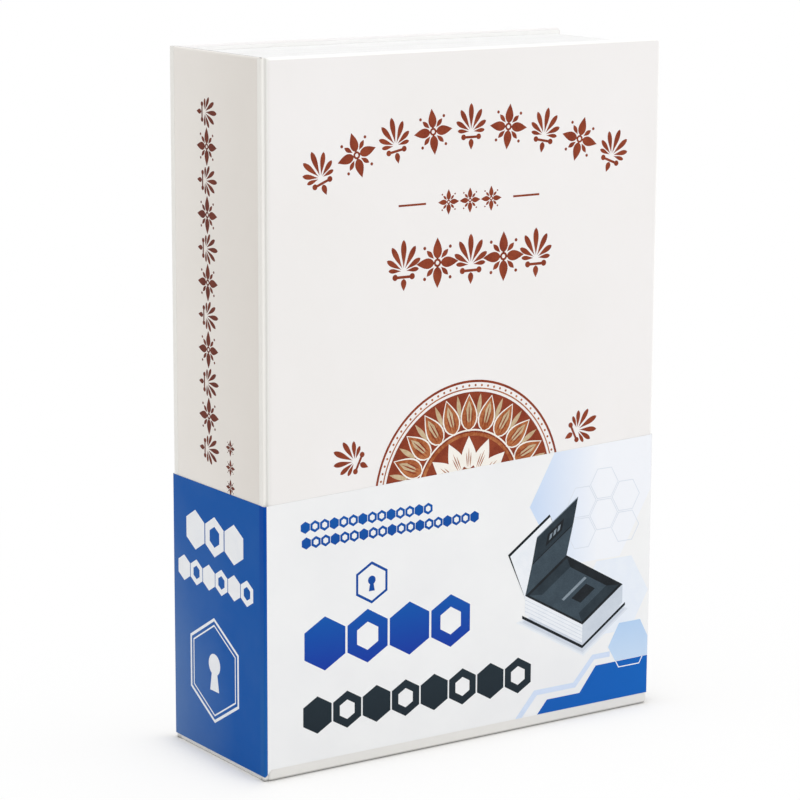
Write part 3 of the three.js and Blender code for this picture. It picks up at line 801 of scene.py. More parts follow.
def make_pages():
    """The page-look paper round tail, fore-edge and head, with a shallow groove for each leaf."""
    rng = random.Random(7)
    pitch, inner, edge, ripple = 0.42 * mm, 0.55 * mm, 0.1 * mm, 0.02 * mm
    leaf_from_share, leaf_to_share, groove_share = 0.12, 0.72, 0.92
    levels = [(page_low.y, edge)]
    for leaf in range(int((page_high.y - page_low.y) / pitch)):
        groove = rng.uniform(0.04, 0.14) * mm
        levels.append((page_low.y + (leaf + leaf_from_share) * pitch, ripple * rng.random()))
        levels.append((page_low.y + (leaf + leaf_to_share) * pitch, ripple * rng.random()))
        levels.append((page_low.y + (leaf + groove_share) * pitch, groove))
    levels += [(page_high.y, edge), (page_high.y, inner), (page_low.y, inner)]
    left, right, tail, head = page_low.x, page_high.x, page_low.z, page_high.z
    path = rounded_path([(left, tail), (right, tail), (right, head), (left, head)], 0.7 * mm, 4)
    rings = []
    for point, out in zip(path, normals_along(path)):
        places = [(Vector(point) - out * depth, y) for y, depth in levels]
        rings.append([(place.x, y, place.y) for place, y in places])
    fit(lofted("page_edges", rings, [page_paper], 40), "box", "page_paper", "page_wrap")


# Printed ornaments, in millimetres on a face of the book

class Print:
    """Thin films of ink on a face. Each layer stands a little above the one before."""

    film, root = 0.01, 0.001

    def __init__(self, name, origin, right, up=(0, 0, 1)):
        self.name = name
        self.origin, self.right, self.up = Vector(origin), Vector(right), Vector(up)
        self.out = self.right.cross(self.up)
        self.inks, self.vertices, self.faces, self.indices = [], [], [], []

    def row(self, outline, lift):
        """New points along an outline, that far out of the face."""
        start = len(self.vertices)
        for u, v in outline:
            self.vertices.append(self.origin + (self.right * u + self.up * v + self.out * lift) * mm)
        return list(range(start, len(self.vertices)))

    def take(self, faces, ink):
        if ink not in self.inks:
            self.inks.append(ink)
        self.faces += faces
        self.indices += [self.inks.index(ink)] * len(faces)

    def walls(self, rows, ink):
        """The faces from each row of points to the next, all the way round."""
        for first, second in zip(rows, rows[1:]):
            pairs = list(zip(first, second))
            self.take([(a, c, d, b) for (a, b), (c, d) in zip(pairs, pairs[1:] + pairs[:1])], ink)

    def add(self, outline, ink, layer=0):
        """A filled outline."""
        top, foot = self.row(outline, self.film * (layer + 1)), self.row(outline, self.root)
        self.take([tuple(top), tuple(foot)], ink)
        self.walls([foot, top], ink)

    def frame_of(self, outer, inner, ink, layer=0):
        """The area between two outlines with as many points."""
        lift = self.film * (layer + 1)
        sides = (outer, self.root), (outer, lift), (inner, lift), (inner, self.root)
        rows = [self.row(outline, at) for outline, at in sides]
        self.walls(rows + rows[:1], ink)

    def ring(self, shape, u, v, outer, inner, ink, layer=0):
        """The area between two sizes of one shape."""
        self.frame_of(moved(shape, u, v, 0, outer), moved(shape, u, v, 0, inner), ink, layer)

    def build(self, body, slot):
        materials = [inks[ink] for ink in self.inks]
        fit(mesh_piece(self.name, self.vertices, self.faces, materials, self.indices), body, slot)


def moved(points, u, v, angle=0.0, size=1.0):
    """Points turned by an angle in degrees, scaled and moved."""
    c, s = math.cos(math.radians(angle)), math.sin(math.radians(angle))
    return [(u + size * (x * c - y * s), v + size * (x * s + y * c)) for x, y in points]


def polygon(count, turn=0.0):
    """The corners of a regular polygon of radius 1."""
    return moved([moved([(1, 0)], 0, 0, 360 / count * n)[0] for n in range(count)], 0, 0, turn)


disc, hexagon, flat_hexagon = polygon(20), polygon(6, 30.0), polygon(6)


def block(left, low, right, high):
    return [(left, low), (right, low), (right, high), (left, high)]


def leaf_shape(length, width, start, steps, side_share, tip_share=1.0):
    """A leaf that points up from a start on the vertical. The side share gives its half width."""
    shares = [n / steps for n in range(1, steps)]
    side = [(width / 2 * side_share(share), start + length * share) for share in shares]
    return [(0.0, start), *side, (0.0, start + length * tip_share), *[(-x, y) for x, y in side[::-1]]]


def petal(length, width, fullness, start):
    return leaf_shape(length, width, start, 9, lambda share: math.sin(math.pi * share ** fullness))


def lobe(length, width, start):
    """A lobe, slim at its root and round at its tip."""
    return leaf_shape(length, width, start, 12, lambda share: math.sin(math.pi * share ** 1.7) ** 0.7, 0.985)


def flower(sheet, u, v, size, angle, ink):
    """A four-petalled printer's flower with small leaves and dots between the petals."""
    for n in range(4):
        turn = angle + 90 * n
        sheet.add(moved(petal(0.43, 0.21, 0.72, 0.07), u, v, turn, size), ink)
        sheet.add(moved(petal(0.24, 0.1, 1.2, 0.12), u, v, turn + 45, size), ink)
        dot = moved([(0.0, 0.43)], u, v, turn + 45, size)[0]
        sheet.add(moved(disc, *dot, 0, 0.034 * size), ink)
    sheet.ring(disc, u, v, 0.085 * size, 0.04 * size, ink)


def palmette(sheet, u, v, size, angle, ink):
    """A palmette: a fan of round-tipped lobes over a bar, two scrolls and a drop."""
    def put(points, turn=0.0, at=(0.0, 0.0), layer=0):
        place = moved([at], u, v, angle, size)[0]
        sheet.add(moved(points, *place, angle + turn, size), ink, layer)

    for turn, length, width in ((0, 0.56, 0.13), (30, 0.5, 0.12), (60, 0.4, 0.11), (86, 0.3, 0.09)):
        for side in ((-1, 1) if turn else (1,)):
            put(lobe(length, width, 0.06), side * turn, (0.0, -0.1))
    for side in (-1, 1):
        put(moved(disc, 0, 0, 0, 0.062), 0, (side * 0.2, -0.215), 1)
    put(block(-0.2, -0.245, 0.2, -0.19))
    put(petal(0.24, 0.13, 0.7, 0.0), 180, (0.0, -0.25))


motifs = (palmette, flower)


def rosette(sheet, u, v, radius):
    """An engraved rosette: beaded rim, a dark ring with hatched petals, and pale inner petals. Its
    measures are shares of the radius."""
    dark, brown, tan, cream = "brown_ink", "umber_ink", "tan_ink", "cream_ink"

    def ring(outer, inner, ink, layer=0):
        sheet.ring(polygon(96), u, v, radius * outer, radius * inner, ink, layer)

    def put(points, turn, ink, layer):
        sheet.add(moved(points, u, v, turn, radius), ink, layer)

    ring(1.0, 0.978, dark)
    beads = 88
    for n in range(beads):
        bead = moved([(0.0, 0.952)], u, v, 360 / beads * n, radius)[0]
        sheet.add(moved(polygon(10), *bead, 0, radius * 0.011), brown)
    ring(0.93, 0.918, brown)
    ring(0.895, 0.2, dark)
    petals, root, length = 22, 0.54, 0.34
    width = 2 * math.pi * 0.7 / petals
    for n in range(petals):
        turn = 360 / petals * n
        put(petal(length, width * 0.93, 0.7, root), turn, cream, 1 + 0.4 * (n % 2))
        put(petal(length * 0.93, width * 0.78, 0.7, root + length * 0.03), turn, brown, 2)
        put(petal(length * 0.6, width * 0.36, 0.8, root + length * 0.22), turn, tan, 3)
        for side in (-1, 0, 1):
            hatch = petal(length * (0.62 - 0.12 * abs(side)), width * 0.07, 1.0, root + length * 0.12)
            put(hatch, turn + side * 2.6, dark, 3.6 + 0.3 * abs(side))
        put(petal(0.2, 0.045, 0.9, 0.68), turn + 180 / petals, tan, 0.6)
    ring(0.56, 0.545, cream, 4.5)
    ring(0.53, 0.5, brown, 4.5)
    petals, root, length = 14, 0.2, 0.3
    width = 2 * math.pi * 0.36 / petals
    for n in range(petals):
        turn = 360 / petals * n
        put(petal(length, width * 1.02, 0.62, root), turn, cream, 5.6 + 0.4 * (n % 2))
        for side in (-1, 0, 1):
            hatch = petal(length * (0.6 - 0.14 * abs(side)), width * 0.06, 1.0, root + length * 0.06)
            put(hatch, turn + side * 4.0, brown, 7)
    ring(0.21, 0.12, tan, 7.5)


def print_front_cover():
    """An arched row and a straight row of ornaments, a small ruled row between them, and a rosette
    that the band half covers."""
    sheet = Print("front_cover_print", (0, front_low.y, 0), (1, 0, 0))
    ink = "brown_ink"
    arch_foot, arch_radius, arch_half, arch_count, arch_size = (0.6, 53.6), 156.5, 22.2, 9, 15.2
    for n in range(arch_count):
        angle = arch_half * (1 - 2 * n / (arch_count - 1))
        place = moved([(0.0, arch_radius)], *arch_foot, angle)[0]
        motifs[n % 2](sheet, *place, arch_size, angle, ink)
    middle, row, pitch, size = 0.4, 186.0, 8.6, 8.4
    for n in (-1, 0, 1):
        flower(sheet, middle + pitch * n, row, size, 0, ink)
    rule_away, rule_half, rule_thin = 23.0, 5.4, 0.35
    for side in (-1, 1):
        u = middle + side * rule_away
        sheet.add(block(u - rule_half, row - rule_thin, u + rule_half, row + rule_thin), ink)
    middle, row, pitch, size = 0.9, 166.2, 13.4, 16.8
    for n in range(-2, 3):
        motifs[n % 2](sheet, middle + pitch * n, row, size, 0, ink)
    rosette(sheet, 0.8, 87.5, 38.0)
    for side in (-1, 1):
        palmette(sheet, 0.8 + side * 47.0, 104.0, 15.0, -side * 64, ink)
    sheet.build("front_cover", "case_laminate")


def print_spine():
    """A column of ornaments down the spine, and a short column of small ones beside it."""
    sheet = Print("spine_print", (spine_low.x, 0, 0), (0, -1, 0))
    ink = "dark_brown_ink"
    column, top, pitch, size = -5.3, 216.2, 11.1, 12.6
    for n in range(11):
        motifs[n % 2](sheet, column, top - pitch * n, size, -90, ink)
    column, top, pitch, size = 8.2, 108.0, 6.6, 5.6
    for n in range(3):
        flower(sheet, column, top - pitch * n, size, 0, ink)
    sheet.build("box", "case_laminate")


def hexagon_row(sheet, left, middle, radius, count, ink, solid_every=2):
    """A row of hexagons that stand corner up, some of them solid and some hollow."""
    solid_share, hollow_share = 0.95, 0.5
    for n in range(count):
        u = left + radius * math.sqrt(3) * (n + 0.5)
        if n % solid_every == 0:
            sheet.add(moved(hexagon, u, middle, 0, radius * solid_share), ink, 1)
        else:
            sheet.ring(hexagon, u, middle, radius * solid_share, radius * hollow_share, ink, 1)


def honeycomb(sheet, left, foot, columns, inside):
    """Pale outlines of hexagons in columns, where their upper right ends lie inside."""
    cell = 6.4
    for column, rows in enumerate(columns):
        for row in range(rows):
            u = left + column * cell * 1.5
            v = foot + (row + 0.5 * (column % 2)) * cell * math.sqrt(3)
            if inside(u + cell, v + cell * 0.87):
                sheet.ring(flat_hexagon, u, v, cell * 0.97, cell * 0.92, "honeycomb_ink", 1)


def keyhole(sheet, u, v, size, ink, layer):
    """A keyhole: a disc with a foot that widens."""
    sheet.add(moved(disc, u, v + 0.12 * size, 0, 0.22 * size), ink, layer)
    foot = [(-0.09, 0.02), (0.09, 0.02), (0.17, -0.42), (-0.17, -0.42)]
    sheet.add(moved(foot, u, v, 0, size), ink, layer + 0.5)


def hexagon_badge(sheet, u, v, radius, stroke, ink):
    """A hexagon outline with a keyhole."""
    sheet.ring(hexagon, u, v, radius, radius - stroke, ink, 1)
    keyhole(sheet, u, v, radius * 0.95, ink, 1)


def drawn_box(sheet):
    """A small drawing of an open box: a block of leaves, a dark tray and a raised lid. A place on
    it is a share along its front, a share across it, and a drop from its rim."""
    front, along, across = (50.0, 33.5), (-25.0, 14.0), (17.5, 12.0)
    deep, board, below = 6.6, 1.1, 9.2
    foot, over = deep + board, -0.04

    def at(a, b, drop=0.0):
        return (front[0] + a * along[0] + b * across[0], front[1] + a * along[1] + b * across[1] - drop)

    def panel(ink, layer, *places):
        sheet.add([at(*place) for place in places], "drawing_" + ink, layer)

    def strip(ink, layer, first, second):
        sheet.add([*first, *second[::-1]], "drawing_" + ink, layer)

    for n, grow in enumerate((0.09, 0.06, 0.03)):
        panel("shade_%d" % n, n, (-grow, -grow, below), (-grow, 1 + grow, below),
              (0.7, 1 + 1.6 * grow, below), (1 + grow, -grow, below))
    panel("black", 3, (-0.03, over, deep), (-0.03, over, foot), (1.02, over, foot), (1.02, over, deep))
    panel("black", 3.4, (-0.03, over, deep), (-0.03, 1.03, deep), (-0.03, 1.03, foot), (-0.03, over, foot))
    panel("page", 4, (0, 0, deep), (0, 0), (1, 0), (1, 0, deep))
    panel("page_shade", 4.4, (0, 0, deep), (0, 1, deep), (0, 1), (0, 0))
    for drop in [deep * n / 5 for n in range(1, 5)]:
        panel("page_shade", 4.8, (0, 0, drop), (1, 0, drop), (1, 0, drop + 0.16), (0, 0, drop + 0.16))
    panel("black", 5.2, (0, 0), (0, 1), (1, 1), (1, 0))
    panel("middle", 5.6, (0.04, 0.04), (0.04, 0.96), (0.96, 0.96), (0.96, 0.04))
    panel("dark", 6.2, (0.04, 0.04), (0.04, 0.96), (0.18, 0.84), (0.18, 0.16))
    panel("dark", 6.2, (0.96, 0.04), (0.96, 0.96), (0.82, 0.84), (0.82, 0.16))
    panel("black", 6.6, (0.96, 0.96), (0.04, 0.96), (0.18, 0.84), (0.82, 0.84))
    panel("light", 7, (0.5, 0.24), (0.5, 0.8), (0.54, 0.8), (0.54, 0.24))
    panel("black", 7, (0.28, 0.34), (0.28, 0.7), (0.44, 0.7), (0.44, 0.34))

    cover_foot = [at(1, 0, 1), at(1, 1, 1)]
    cover_top = moved([at(1, 0), at(1, 1)], -7.5, 15.5)
    strip("black", 3.2, cover_foot, cover_top)
    inset_top = [moved(cover_top, 0.9, -0.6)[0], moved(cover_top, 0.3, -0.9)[1]]
    strip("page", 3.7, cover_foot, inset_top)
    low = [at(1, 0), at(1, 1)]
    fold, top = moved(low, 2.6, 10.4), moved(low, 4.6, 19.8)
    strip("middle", 7, low, fold)
    strip("dark", 7, moved(fold, 0.15, 0.6), top)
    strip("black", 7.5, fold, moved(fold, 0.1, 0.55))
    strip("light", 7.5, top, moved(top, 0.1, 0.4))

    def on_lid(ink, layer, left, foot_share, right, top_share):
        """A block on the lid's upper panel, in shares of it."""
        start, across_lid, up_lid = Vector(fold[0]), Vector(fold[1]), Vector(top[0])
        sheet.add([start + (across_lid - start) * a + (up_lid - start) * b
                   for a, b in block(left, foot_share, right, top_share)], "drawing_" + ink, layer)

    on_lid("black", 8, 0.3, 0.25, 0.7, 0.7)
    for left in (0.37, 0.47, 0.57):
        on_lid("light", 9, left, 0.38, left + 0.06, 0.58)


def print_band_front():
    """The band's front: rows of hexagons, a badge, a pale honeycomb, a stepped stripe and a drawing."""
    sheet = Print("band_front_print", (0, outer_front, 0), (1, 0, 0))
    foot, right = band_low.z / mm + 0.05, outer_right / mm - 0.45
    edge = lambda u: band_top(u * mm) / mm - 0.08
    sheet.add([(26.5, 78.6), (39.8, 56.0), (66.0, 56.0), (right, 78.6), (right, edge(right)),
               (36.8, edge(36.8))], "pale_sky_ink")
    sheet.add(moved(flat_hexagon, 63.5, 42.0, 0, 15.5), "faint_sky_ink", 0.4)
    honeycomb(sheet, 49.0, 66.5, (2, 3, 2, 3), lambda u, v: v < edge(u) and u < right)
    sheet.add([(30.8, foot), (35.0, 8.8), (49.2, 8.8), (56.2, 17.6), (right, 17.8), (right, foot)],
              "stripe_blue_ink", 3)
    upper = [(21.4, foot), (29.4, 13.0), (46.4, 13.0), (54.6, 21.8), (62.4, 21.8)]
    lower = [(62.4, 19.9), (55.5, 19.9), (47.3, 11.1), (30.6, 11.1), (24.2, foot)]
    sheet.add(upper + lower, "pale_line_ink", 1)
    badge, stripe_top = (71.0, 23.4), 17.7
    outer, inner = [moved(flat_hexagon, *badge, 0, radius) for radius in (9.4, 9.0)]
    sheet.add([(64.9, 17.9), outer[3], outer[2], outer[1], (right, 25.0), (right, 17.9)], "hexagon_ink", 2)
    sheet.add([outer[4], outer[5], inner[5], inner[4]], "white_ink", 5)
    for end, start in ((3, 4), (0, 5)):
        share = (stripe_top - outer[start][1]) / (outer[end][1] - outer[start][1])
        tips = [Vector(line[start]).lerp(Vector(line[end]), share) for line in (outer, inner)]
        sheet.add([outer[start], *tips, inner[start]], "white_ink", 5)
    for left, middle, radius, count, ink, solid_every in (
        (-66.0, 83.7, 2.15, 14, "sky_ink", 3), (-65.6, 78.4, 2.15, 19, "sky_ink", 3),
        (-65.0, 43.6, 9.7, 4, "gradient_blue_ink", 2), (-65.4, 19.6, 6.75, 8, "slate_ink", 2),
    ):
        hexagon_row(sheet, left, middle, radius, count, ink, solid_every)
    hexagon_badge(sheet, -38.2, 61.6, 7.2, 1.0, "sky_ink")
    drawn_box(sheet)
    sheet.build("front_cover", "band_paper")

    turn = Print("band_turn_print", (outer_right, 0, 0), (0, 1, 0))
    turn.add(block(band_low.y / mm + 0.5, foot, band_high.y / mm - 0.5, 17.8), "stripe_blue_ink")
    turn.build("front_cover", "band_paper")


def print_band_back():
    """The band's back: the stepped stripe, a pale honeycomb, a badge and short rows of hexagons."""
    sheet = Print("band_back_print", (0, outer_back, 0), (-1, 0, 0))
    foot, right, left = rear_low.z / mm + 0.05, -rear_low.x / mm - 1.0, -rear_high.x / mm + 0.1
    sheet.add([(left, foot), (30.8, foot), (21.6, 13.6), (-12.4, 13.6), (-21.6, 20.4), (left, 20.4)],
              "back_stripe_ink")
    sheet.add([(left, 22.4), (-20.6, 22.4), (-11.4, 15.6), (22.6, 15.6), (34.2, foot), (37.0, foot),
               (23.8, 17.0), (-10.6, 17.0), (-19.8, 23.8), (left, 23.8)], "pale_line_ink")
    honeycomb(sheet, 27.0, 30.0, (4, 4, 4, 4, 4), lambda u, v: u < right)
    hexagon_badge(sheet, -58.0, 71.0, 9.0, 1.1, "sky_ink")
    for n, count in enumerate((14, 17, 15)):
        hexagon_row(sheet, -42.0, 78.0 - 6.6 * n, 2.0, count, "slate_ink", 3)
    sheet.build("box", "band_paper")


def print_band_spine():
    """The band's spine: two rows of white hexagons and a badge."""
    sheet = Print("band_spine_print", (outer_spine, 0, 0), (0, -1, 0))
    ink = "white_ink"
    hexagon_row(sheet, -20.8, 76.0, 7.2, 3, ink)
    hexagon_row(sheet, -26.3, 61.4, 4.7, 6, ink)
    badge, radius = (-2.8, 30.0), 18.2
    sheet.ring(hexagon, *badge, radius, radius - 1.1, ink)
    sheet.ring(hexagon, *badge, radius - 2.3, radius - 2.9, ink)
    keyhole(sheet, *badge, 17.0, ink, 0)
    sheet.build("box", "band_paper")


# Inside of the cover

def make_turn_ins():
    """The laminate turned over three edges of the cover's board, mitred at the corners."""
    width, film, margin, gap = 15 * mm, 0.09 * mm, 0.9 * mm, 0.12 * mm
    left, right = front_low.x + margin, front_high.x - margin
    end = right - gap
    outlines = {}
    for name, edge, inwards in (
        ("tail", front_low.z + margin, width), ("head", front_high.z - margin, -width),
    ):
        outlines[name] = [(left, edge), (end, edge), (end - width, edge + inwards), (left, edge + inwards)]
    tail, head = front_low.z + margin + gap, front_high.z - margin - gap
    outlines["fore_edge"] = [(right, tail), (right, head), (right - width, head - width),
                             (right - width, tail + width)]
    for name, outline in outlines.items():
        rings = [[(x, y, z) for x, z in outline] for y in (front_high.y - 0.01 * mm, front_high.y + film)]
        fit(lofted("turn_in_" + name, rings, [laminate], 30), "front_cover", "case_laminate")


def make_endpaper():
    """The glued sheet inside the cover, which steps down inside the edge of the turn-ins."""
    low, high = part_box("front_endpaper")
    step_from, step_wide, step_deep, thick = 15.9 * mm, 0.8 * mm, 0.07 * mm, 0.14 * mm
    right = front_high.x - step_from
    tail, head = front_low.z + step_from, front_high.z - step_from

    def stops(start, end, *lines):
        """The ends and six places across each step."""
        return sorted({start, end, *[line + step_wide * (n / 5 - 0.5) for line in lines for n in range(6)]})

    def drop(x, z):
        share = min(max(min(right - x, z - tail, head - z) / step_wide + 0.5, 0.0), 1.0)
        return step_deep * share * share * (3 - 2 * share)

    zs = stops(low.z, high.z, tail, head)
    rings = []
    for x in stops(low.x, high.x, right):
        outer = [(x, high.y - drop(x, z), z) for z in zs]
        rings.append(outer + [(x, y - thick, z) for x, y, z in reversed(outer)])
    fit(lofted("front_endpaper_sheet", rings, [endpaper], 30), "front_cover", "endpaper", "front_endpaper")


# Box and inner lid

def make_box():
    """The walls in covering paper and the linings in flock, with soft edges."""
    for wall in ("floor", "wall_spine", "wall_fore_edge", "wall_tail", "wall_head"):
        refined("tray_" + wall, "_papered", "box", "slate_paper", [slate_paper, slate_edges], 0.35 * mm)
    for lining in ("floor_lining", "lining_spine", "lining_fore_edge", "lining_tail", "lining_head"):
        refined(lining, "_flocked", "box", "flock", [slate_flock], 0.25 * mm)


def make_lid():
    """The inner lid's two panels with their linings."""
    for part, body in (("rear", "lid_rear"), ("front", "lid_front")):
        covers = [slate_paper, slate_edges]
        refined("lid_%s_panel" % part, "_papered", body, "slate_paper", covers, 0.4 * mm, 3)
        refined("lid_%s_lining" % part, "_flocked", body, "flock", [slate_flock], 0.25 * mm)


def make_hinges():
    """The two strips of book cloth that the lid and its fold turn on."""
    cloth, glue, trim, reach = 0.22 * mm, 0.03 * mm, 0.3 * mm, Vector((0.8 * mm, 0, 0))
    tape_low, tape_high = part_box("lid_hinge_tape")
    fold_low, fold_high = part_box("lid_fold_tape")
    lid_axis, fold_axis = hinges["lid_hinge"], hinges["lid_fold"]
    face, left = lid_axis.y - cloth - glue, spine_high.x + cloth + glue
    corners = [(left, tape_low.y), (left, face), (lid_axis.x + 9.5 * mm, face)]
    tape_path = divided(rounded_path(corners, 0.55 * mm, 8), 0.8 * mm)
    fold_path = divided([(fold_low.x, face), (2 * fold_axis.x - fold_low.x, face)], 0.4 * mm)
    for name, path, foot, top, bodies, axis in (
        ("lid_hinge", tape_path, tape_low.z, tape_high.z, ("box", "lid_rear"), lid_axis),
        ("lid_fold", fold_path, fold_low.z + trim, fold_high.z - trim, ("lid_rear", "lid_front"), fold_axis),
    ):
        piece = ribbon(name + "_cloth", path, foot, top, cloth, [hinge_cloth], rows=4)
        bend(piece, bodies, "tape_cloth", axis - reach, axis + reach, name + "_tape")


# Lock

dial_radius = 7.0 * mm


def notched(angle, radius):
    """A dial's radius: ten round-bottomed finger notches in its rim."""
    half_width, deep, pitch = math.radians(8.5), 0.5 * mm, 2 * math.pi / 10
    off = abs((angle + pitch / 2) % pitch - pitch / 2)
    if radius < dial_radius / 2 or off > half_width:
        return radius
    return radius - deep * 0.5 * (1 + math.cos(math.pi * off / half_width))


def drawn_digit(digit):
    """A digit as a bmesh in the XY plane, sliced so that it can bend round a rim."""
    size, sink, rise, slices = 3.5 * mm, 0.05 * mm, 0.02 * mm, 8
    curve = bpy.data.curves.new("digit", "FONT")
    curve.body = str(digit)
    curve.size = size
    curve.align_x = "CENTER"
    curve.extrude = (rise + sink) / 2
    curve.resolution_u = 6
    text = bpy.data.objects.new("digit", curve)
    mesh = bpy.data.meshes.new_from_object(text)
    work = bmesh.new()
    work.from_mesh(mesh)
    for block_of, thing in ((bpy.data.objects, text), (bpy.data.curves, curve), (bpy.data.meshes, mesh)):
        block_of.remove(thing)
    bmesh.ops.remove_doubles(work, verts=work.verts, dist=0.0005 * mm)
    heights = [vertex.co.y for vertex in work.verts]
    low, high = min(heights), max(heights)
    places = [low + (high - low) * n / slices for n in range(1, slices)]
    cut_across(work, (0, 1, 0), places, dist=0.0002 * mm)
    for vertex in work.verts:
        vertex.co += Vector((0, -(low + high) / 2, (rise - sink) / 2))
    work.verts.index_update()
    return work


def make_dials():
    """Three notched wheels, each with ten raised digits round its rim."""
    half, edge, bore = 2.1 * mm, 0.3 * mm, 1.2 * mm
    recess, recess_from, recess_to, rim_slope = 0.35 * mm, 2.6 * mm, 5.5 * mm, 0.3 * mm
    side = [(-half, bore), (-half, recess_from), (recess - half, recess_from + rim_slope),
            (recess - half, recess_to - rim_slope), (-half, recess_to), (-half, dial_radius - edge),
            (-half + edge * 0.3, dial_radius - edge * 0.3), (-half + edge, dial_radius)]
    profile = side + [(-place, radius) for place, radius in reversed(side)]
    for number in range(1, 4):
        node, body = "number_dial_%d" % number, "dial_%d" % number
        low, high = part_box(node)
        middle = hinges["dial_%d_turn" % number].copy()
        middle.z = (low.z + high.z) / 2
        wheel = turned(node + "_wheel", profile, middle, (0, 0, 1), dial_plastic, 200, notched)
        fit(wheel, body, "dial_plastic", node)

        vertices, faces = [], []
        for digit in range(10):
            work = drawn_digit(digit)
            first = len(vertices)
            heading = -math.pi / 2 + digit * math.pi / 5
            for along, round_way, out in [vertex.co for vertex in work.verts]:
                angle = heading - round_way / dial_radius
                spoke = Vector((math.cos(angle), math.sin(angle), 0)) * (dial_radius + out)
                vertices.append(middle + spoke + Vector((0, 0, along)))
            faces += [tuple(first + vertex.index for vertex in face.verts) for face in work.faces]
            work.free()
        digits = mesh_piece("digits_%d" % number, vertices, faces, [inks["digit_ink"]])
        fit(digits, body, "dial_plastic")


def make_fasteners():
    """The dials' axle, the lock's four slotted screws and the strike plate's two rivets."""
    low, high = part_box("dial_axle")
    half, radius, chamfer = (high.z - low.z) / 2, (high.x - low.x) / 2, 0.25 * mm
    profile = [(-half, 0), (-half, radius - chamfer), (chamfer - half, radius),
               (half - chamfer, radius), (half, radius - chamfer), (half, 0)]
    axle = turned("dial_axle_turned", profile, (low + high) / 2, (0, 0, 1), spring_steel)
    fit(axle, "lid_front", "steel", "dial_axle")

    slot_wide, slot_long, slot_deep = 0.25 * mm, 3 * mm, 0.6 * mm
    for number in range(1, 5):
        node = "lock_screw_%d" % number
        low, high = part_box(node)
        middle, top = (low + high) / 2, (high.y - low.y) / 2
        head, shank, underside = (high.x - low.x) / 2, 1.0 * mm, top - 1.0 * mm
        profile = [(-top, 0), (-top, 0.55 * mm), (0.7 * mm - top, shank), (underside, shank),
                   (underside, head - 0.1 * mm), (underside + 0.1 * mm, head),
                   (top - 0.42 * mm, head), (top - 0.22 * mm, head * 0.93), (top - 0.07 * mm, head * 0.72),
                   (top - 0.01 * mm, head * 0.4), (top, 0)]
        screw = turned(node + "_turned", profile, middle, (0, 1, 0), nickel)
        x, z = (slot_long, slot_wide) if number % 2 else (slot_wide, slot_long)
        spot = Vector((middle.x, high.y, middle.z))
        cut_by_block(screw, spot - Vector((x, slot_deep, z)), spot + Vector((x, 1 * mm, z)))
        fit(screw, "lid_front", "steel", node)

    for number in (1, 2):
        node = "strike_rivet_%d" % number
        low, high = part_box(node)
        half, head, shank = (high.x - low.x) / 2, (high.z - low.z) / 2, 1.2 * mm
        lip = 0.8 * mm - half
        profile = [(-half, 0), (0.02 * mm - half, head * 0.4), (0.12 * mm - half, head * 0.7),
                   (0.34 * mm - half, head * 0.92), (lip - 0.1 * mm, head), (lip, head - 0.08 * mm),
                   (lip, shank), (half - 0.2 * mm, shank), (half, shank - 0.2 * mm), (half, 0)]
        rivet = turned(node + "_turned", profile, (low + high) / 2, (1, 0, 0), nickel)
        fit(rivet, "box", "steel", node)


def make_lock():
    """The lock's plastic and pressed parts."""
    plastic = [black_plastic, black_plastic_edges]
    for node, ending, body, slot, materials, edge in (
        ("lock_face_plate", "_moulded", "lid_front", "black_plastic", plastic, 0.22 * mm),
        ("lock_housing", "_moulded", "lid_front", "black_plastic", plastic, 0.3 * mm),
        ("detent_spring", "_pressed", "lid_front", "steel", [spring_steel], 0.05 * mm),
        ("lock_bolt", "_pressed", "bolt", "steel", [nickel], 0.18 * mm),
        ("thumb_slider", "_pressed", "bolt", "steel", [nickel], 0.12 * mm),
        ("strike_plate", "_pressed", "box", "steel", [nickel], 0.18 * mm),
    ):
        refined(node, ending, body, slot, materials, edge)


def print_lock():
    """The pointers on the lock's face: one before and one after the dials, and one past the slot."""
    axis = hinges["dial_1_turn"].x / mm
    first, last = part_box("number_dial_1")[0].z / mm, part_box("number_dial_3")[1].z / mm
    slot_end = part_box("thumb_slider")[1].z / mm + 5
    marks = Print("lock_marks", (0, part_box("lock_face_plate")[0].y, 0), (1, 0, 0))
    for tip, back, half in (
        (first - 1.2, first - 3.4, 1.1), (last + 1.2, last + 3.4, 1.1), (slot_end + 4.2, slot_end + 2.0, 1.4),
    ):
        marks.add([(axis - half, back), (axis + half, back), (axis, tip)], "digit_ink")
    marks.build("lid_front", "black_plastic")


make_boards()
make_joints()
make_band()
make_pages()
make_turn_ins()
make_endpaper()
make_box()
make_lid()
make_hinges()
make_lock()
make_dials()
make_fasteners()
print_lock()
print_front_cover()
print_spine()
print_band_front()
print_band_spine()
print_band_back()


# Camera, floor and light

def make_camera():
    """The camera at the photograph's place, fitted to the book's corners, for a square image."""
    azimuth, elevation, roll = math.radians(34.15), math.radians(11.44), math.radians(-0.25)
    image_size, focal_pixels = 800, 2935.2
    data = bpy.data.cameras.new("camera")
    data.sensor_width = 36.0
    data.lens = focal_pixels / image_size * data.sensor_width
    camera = placed("camera", data)
    camera.location = (-557.6 * mm, -811.28 * mm, 313.07 * mm)
    level = math.cos(elevation)
    ahead = Vector((level * math.sin(azimuth), level * math.cos(azimuth), -math.sin(elevation)))
    camera.rotation_mode = "QUATERNION"
    tilt = Matrix.Rotation(-roll, 4, "Z").to_quaternion()
    camera.rotation_quaternion = ahead.to_track_quat("-Z", "Y") @ tilt
    bpy.context.scene.camera = camera


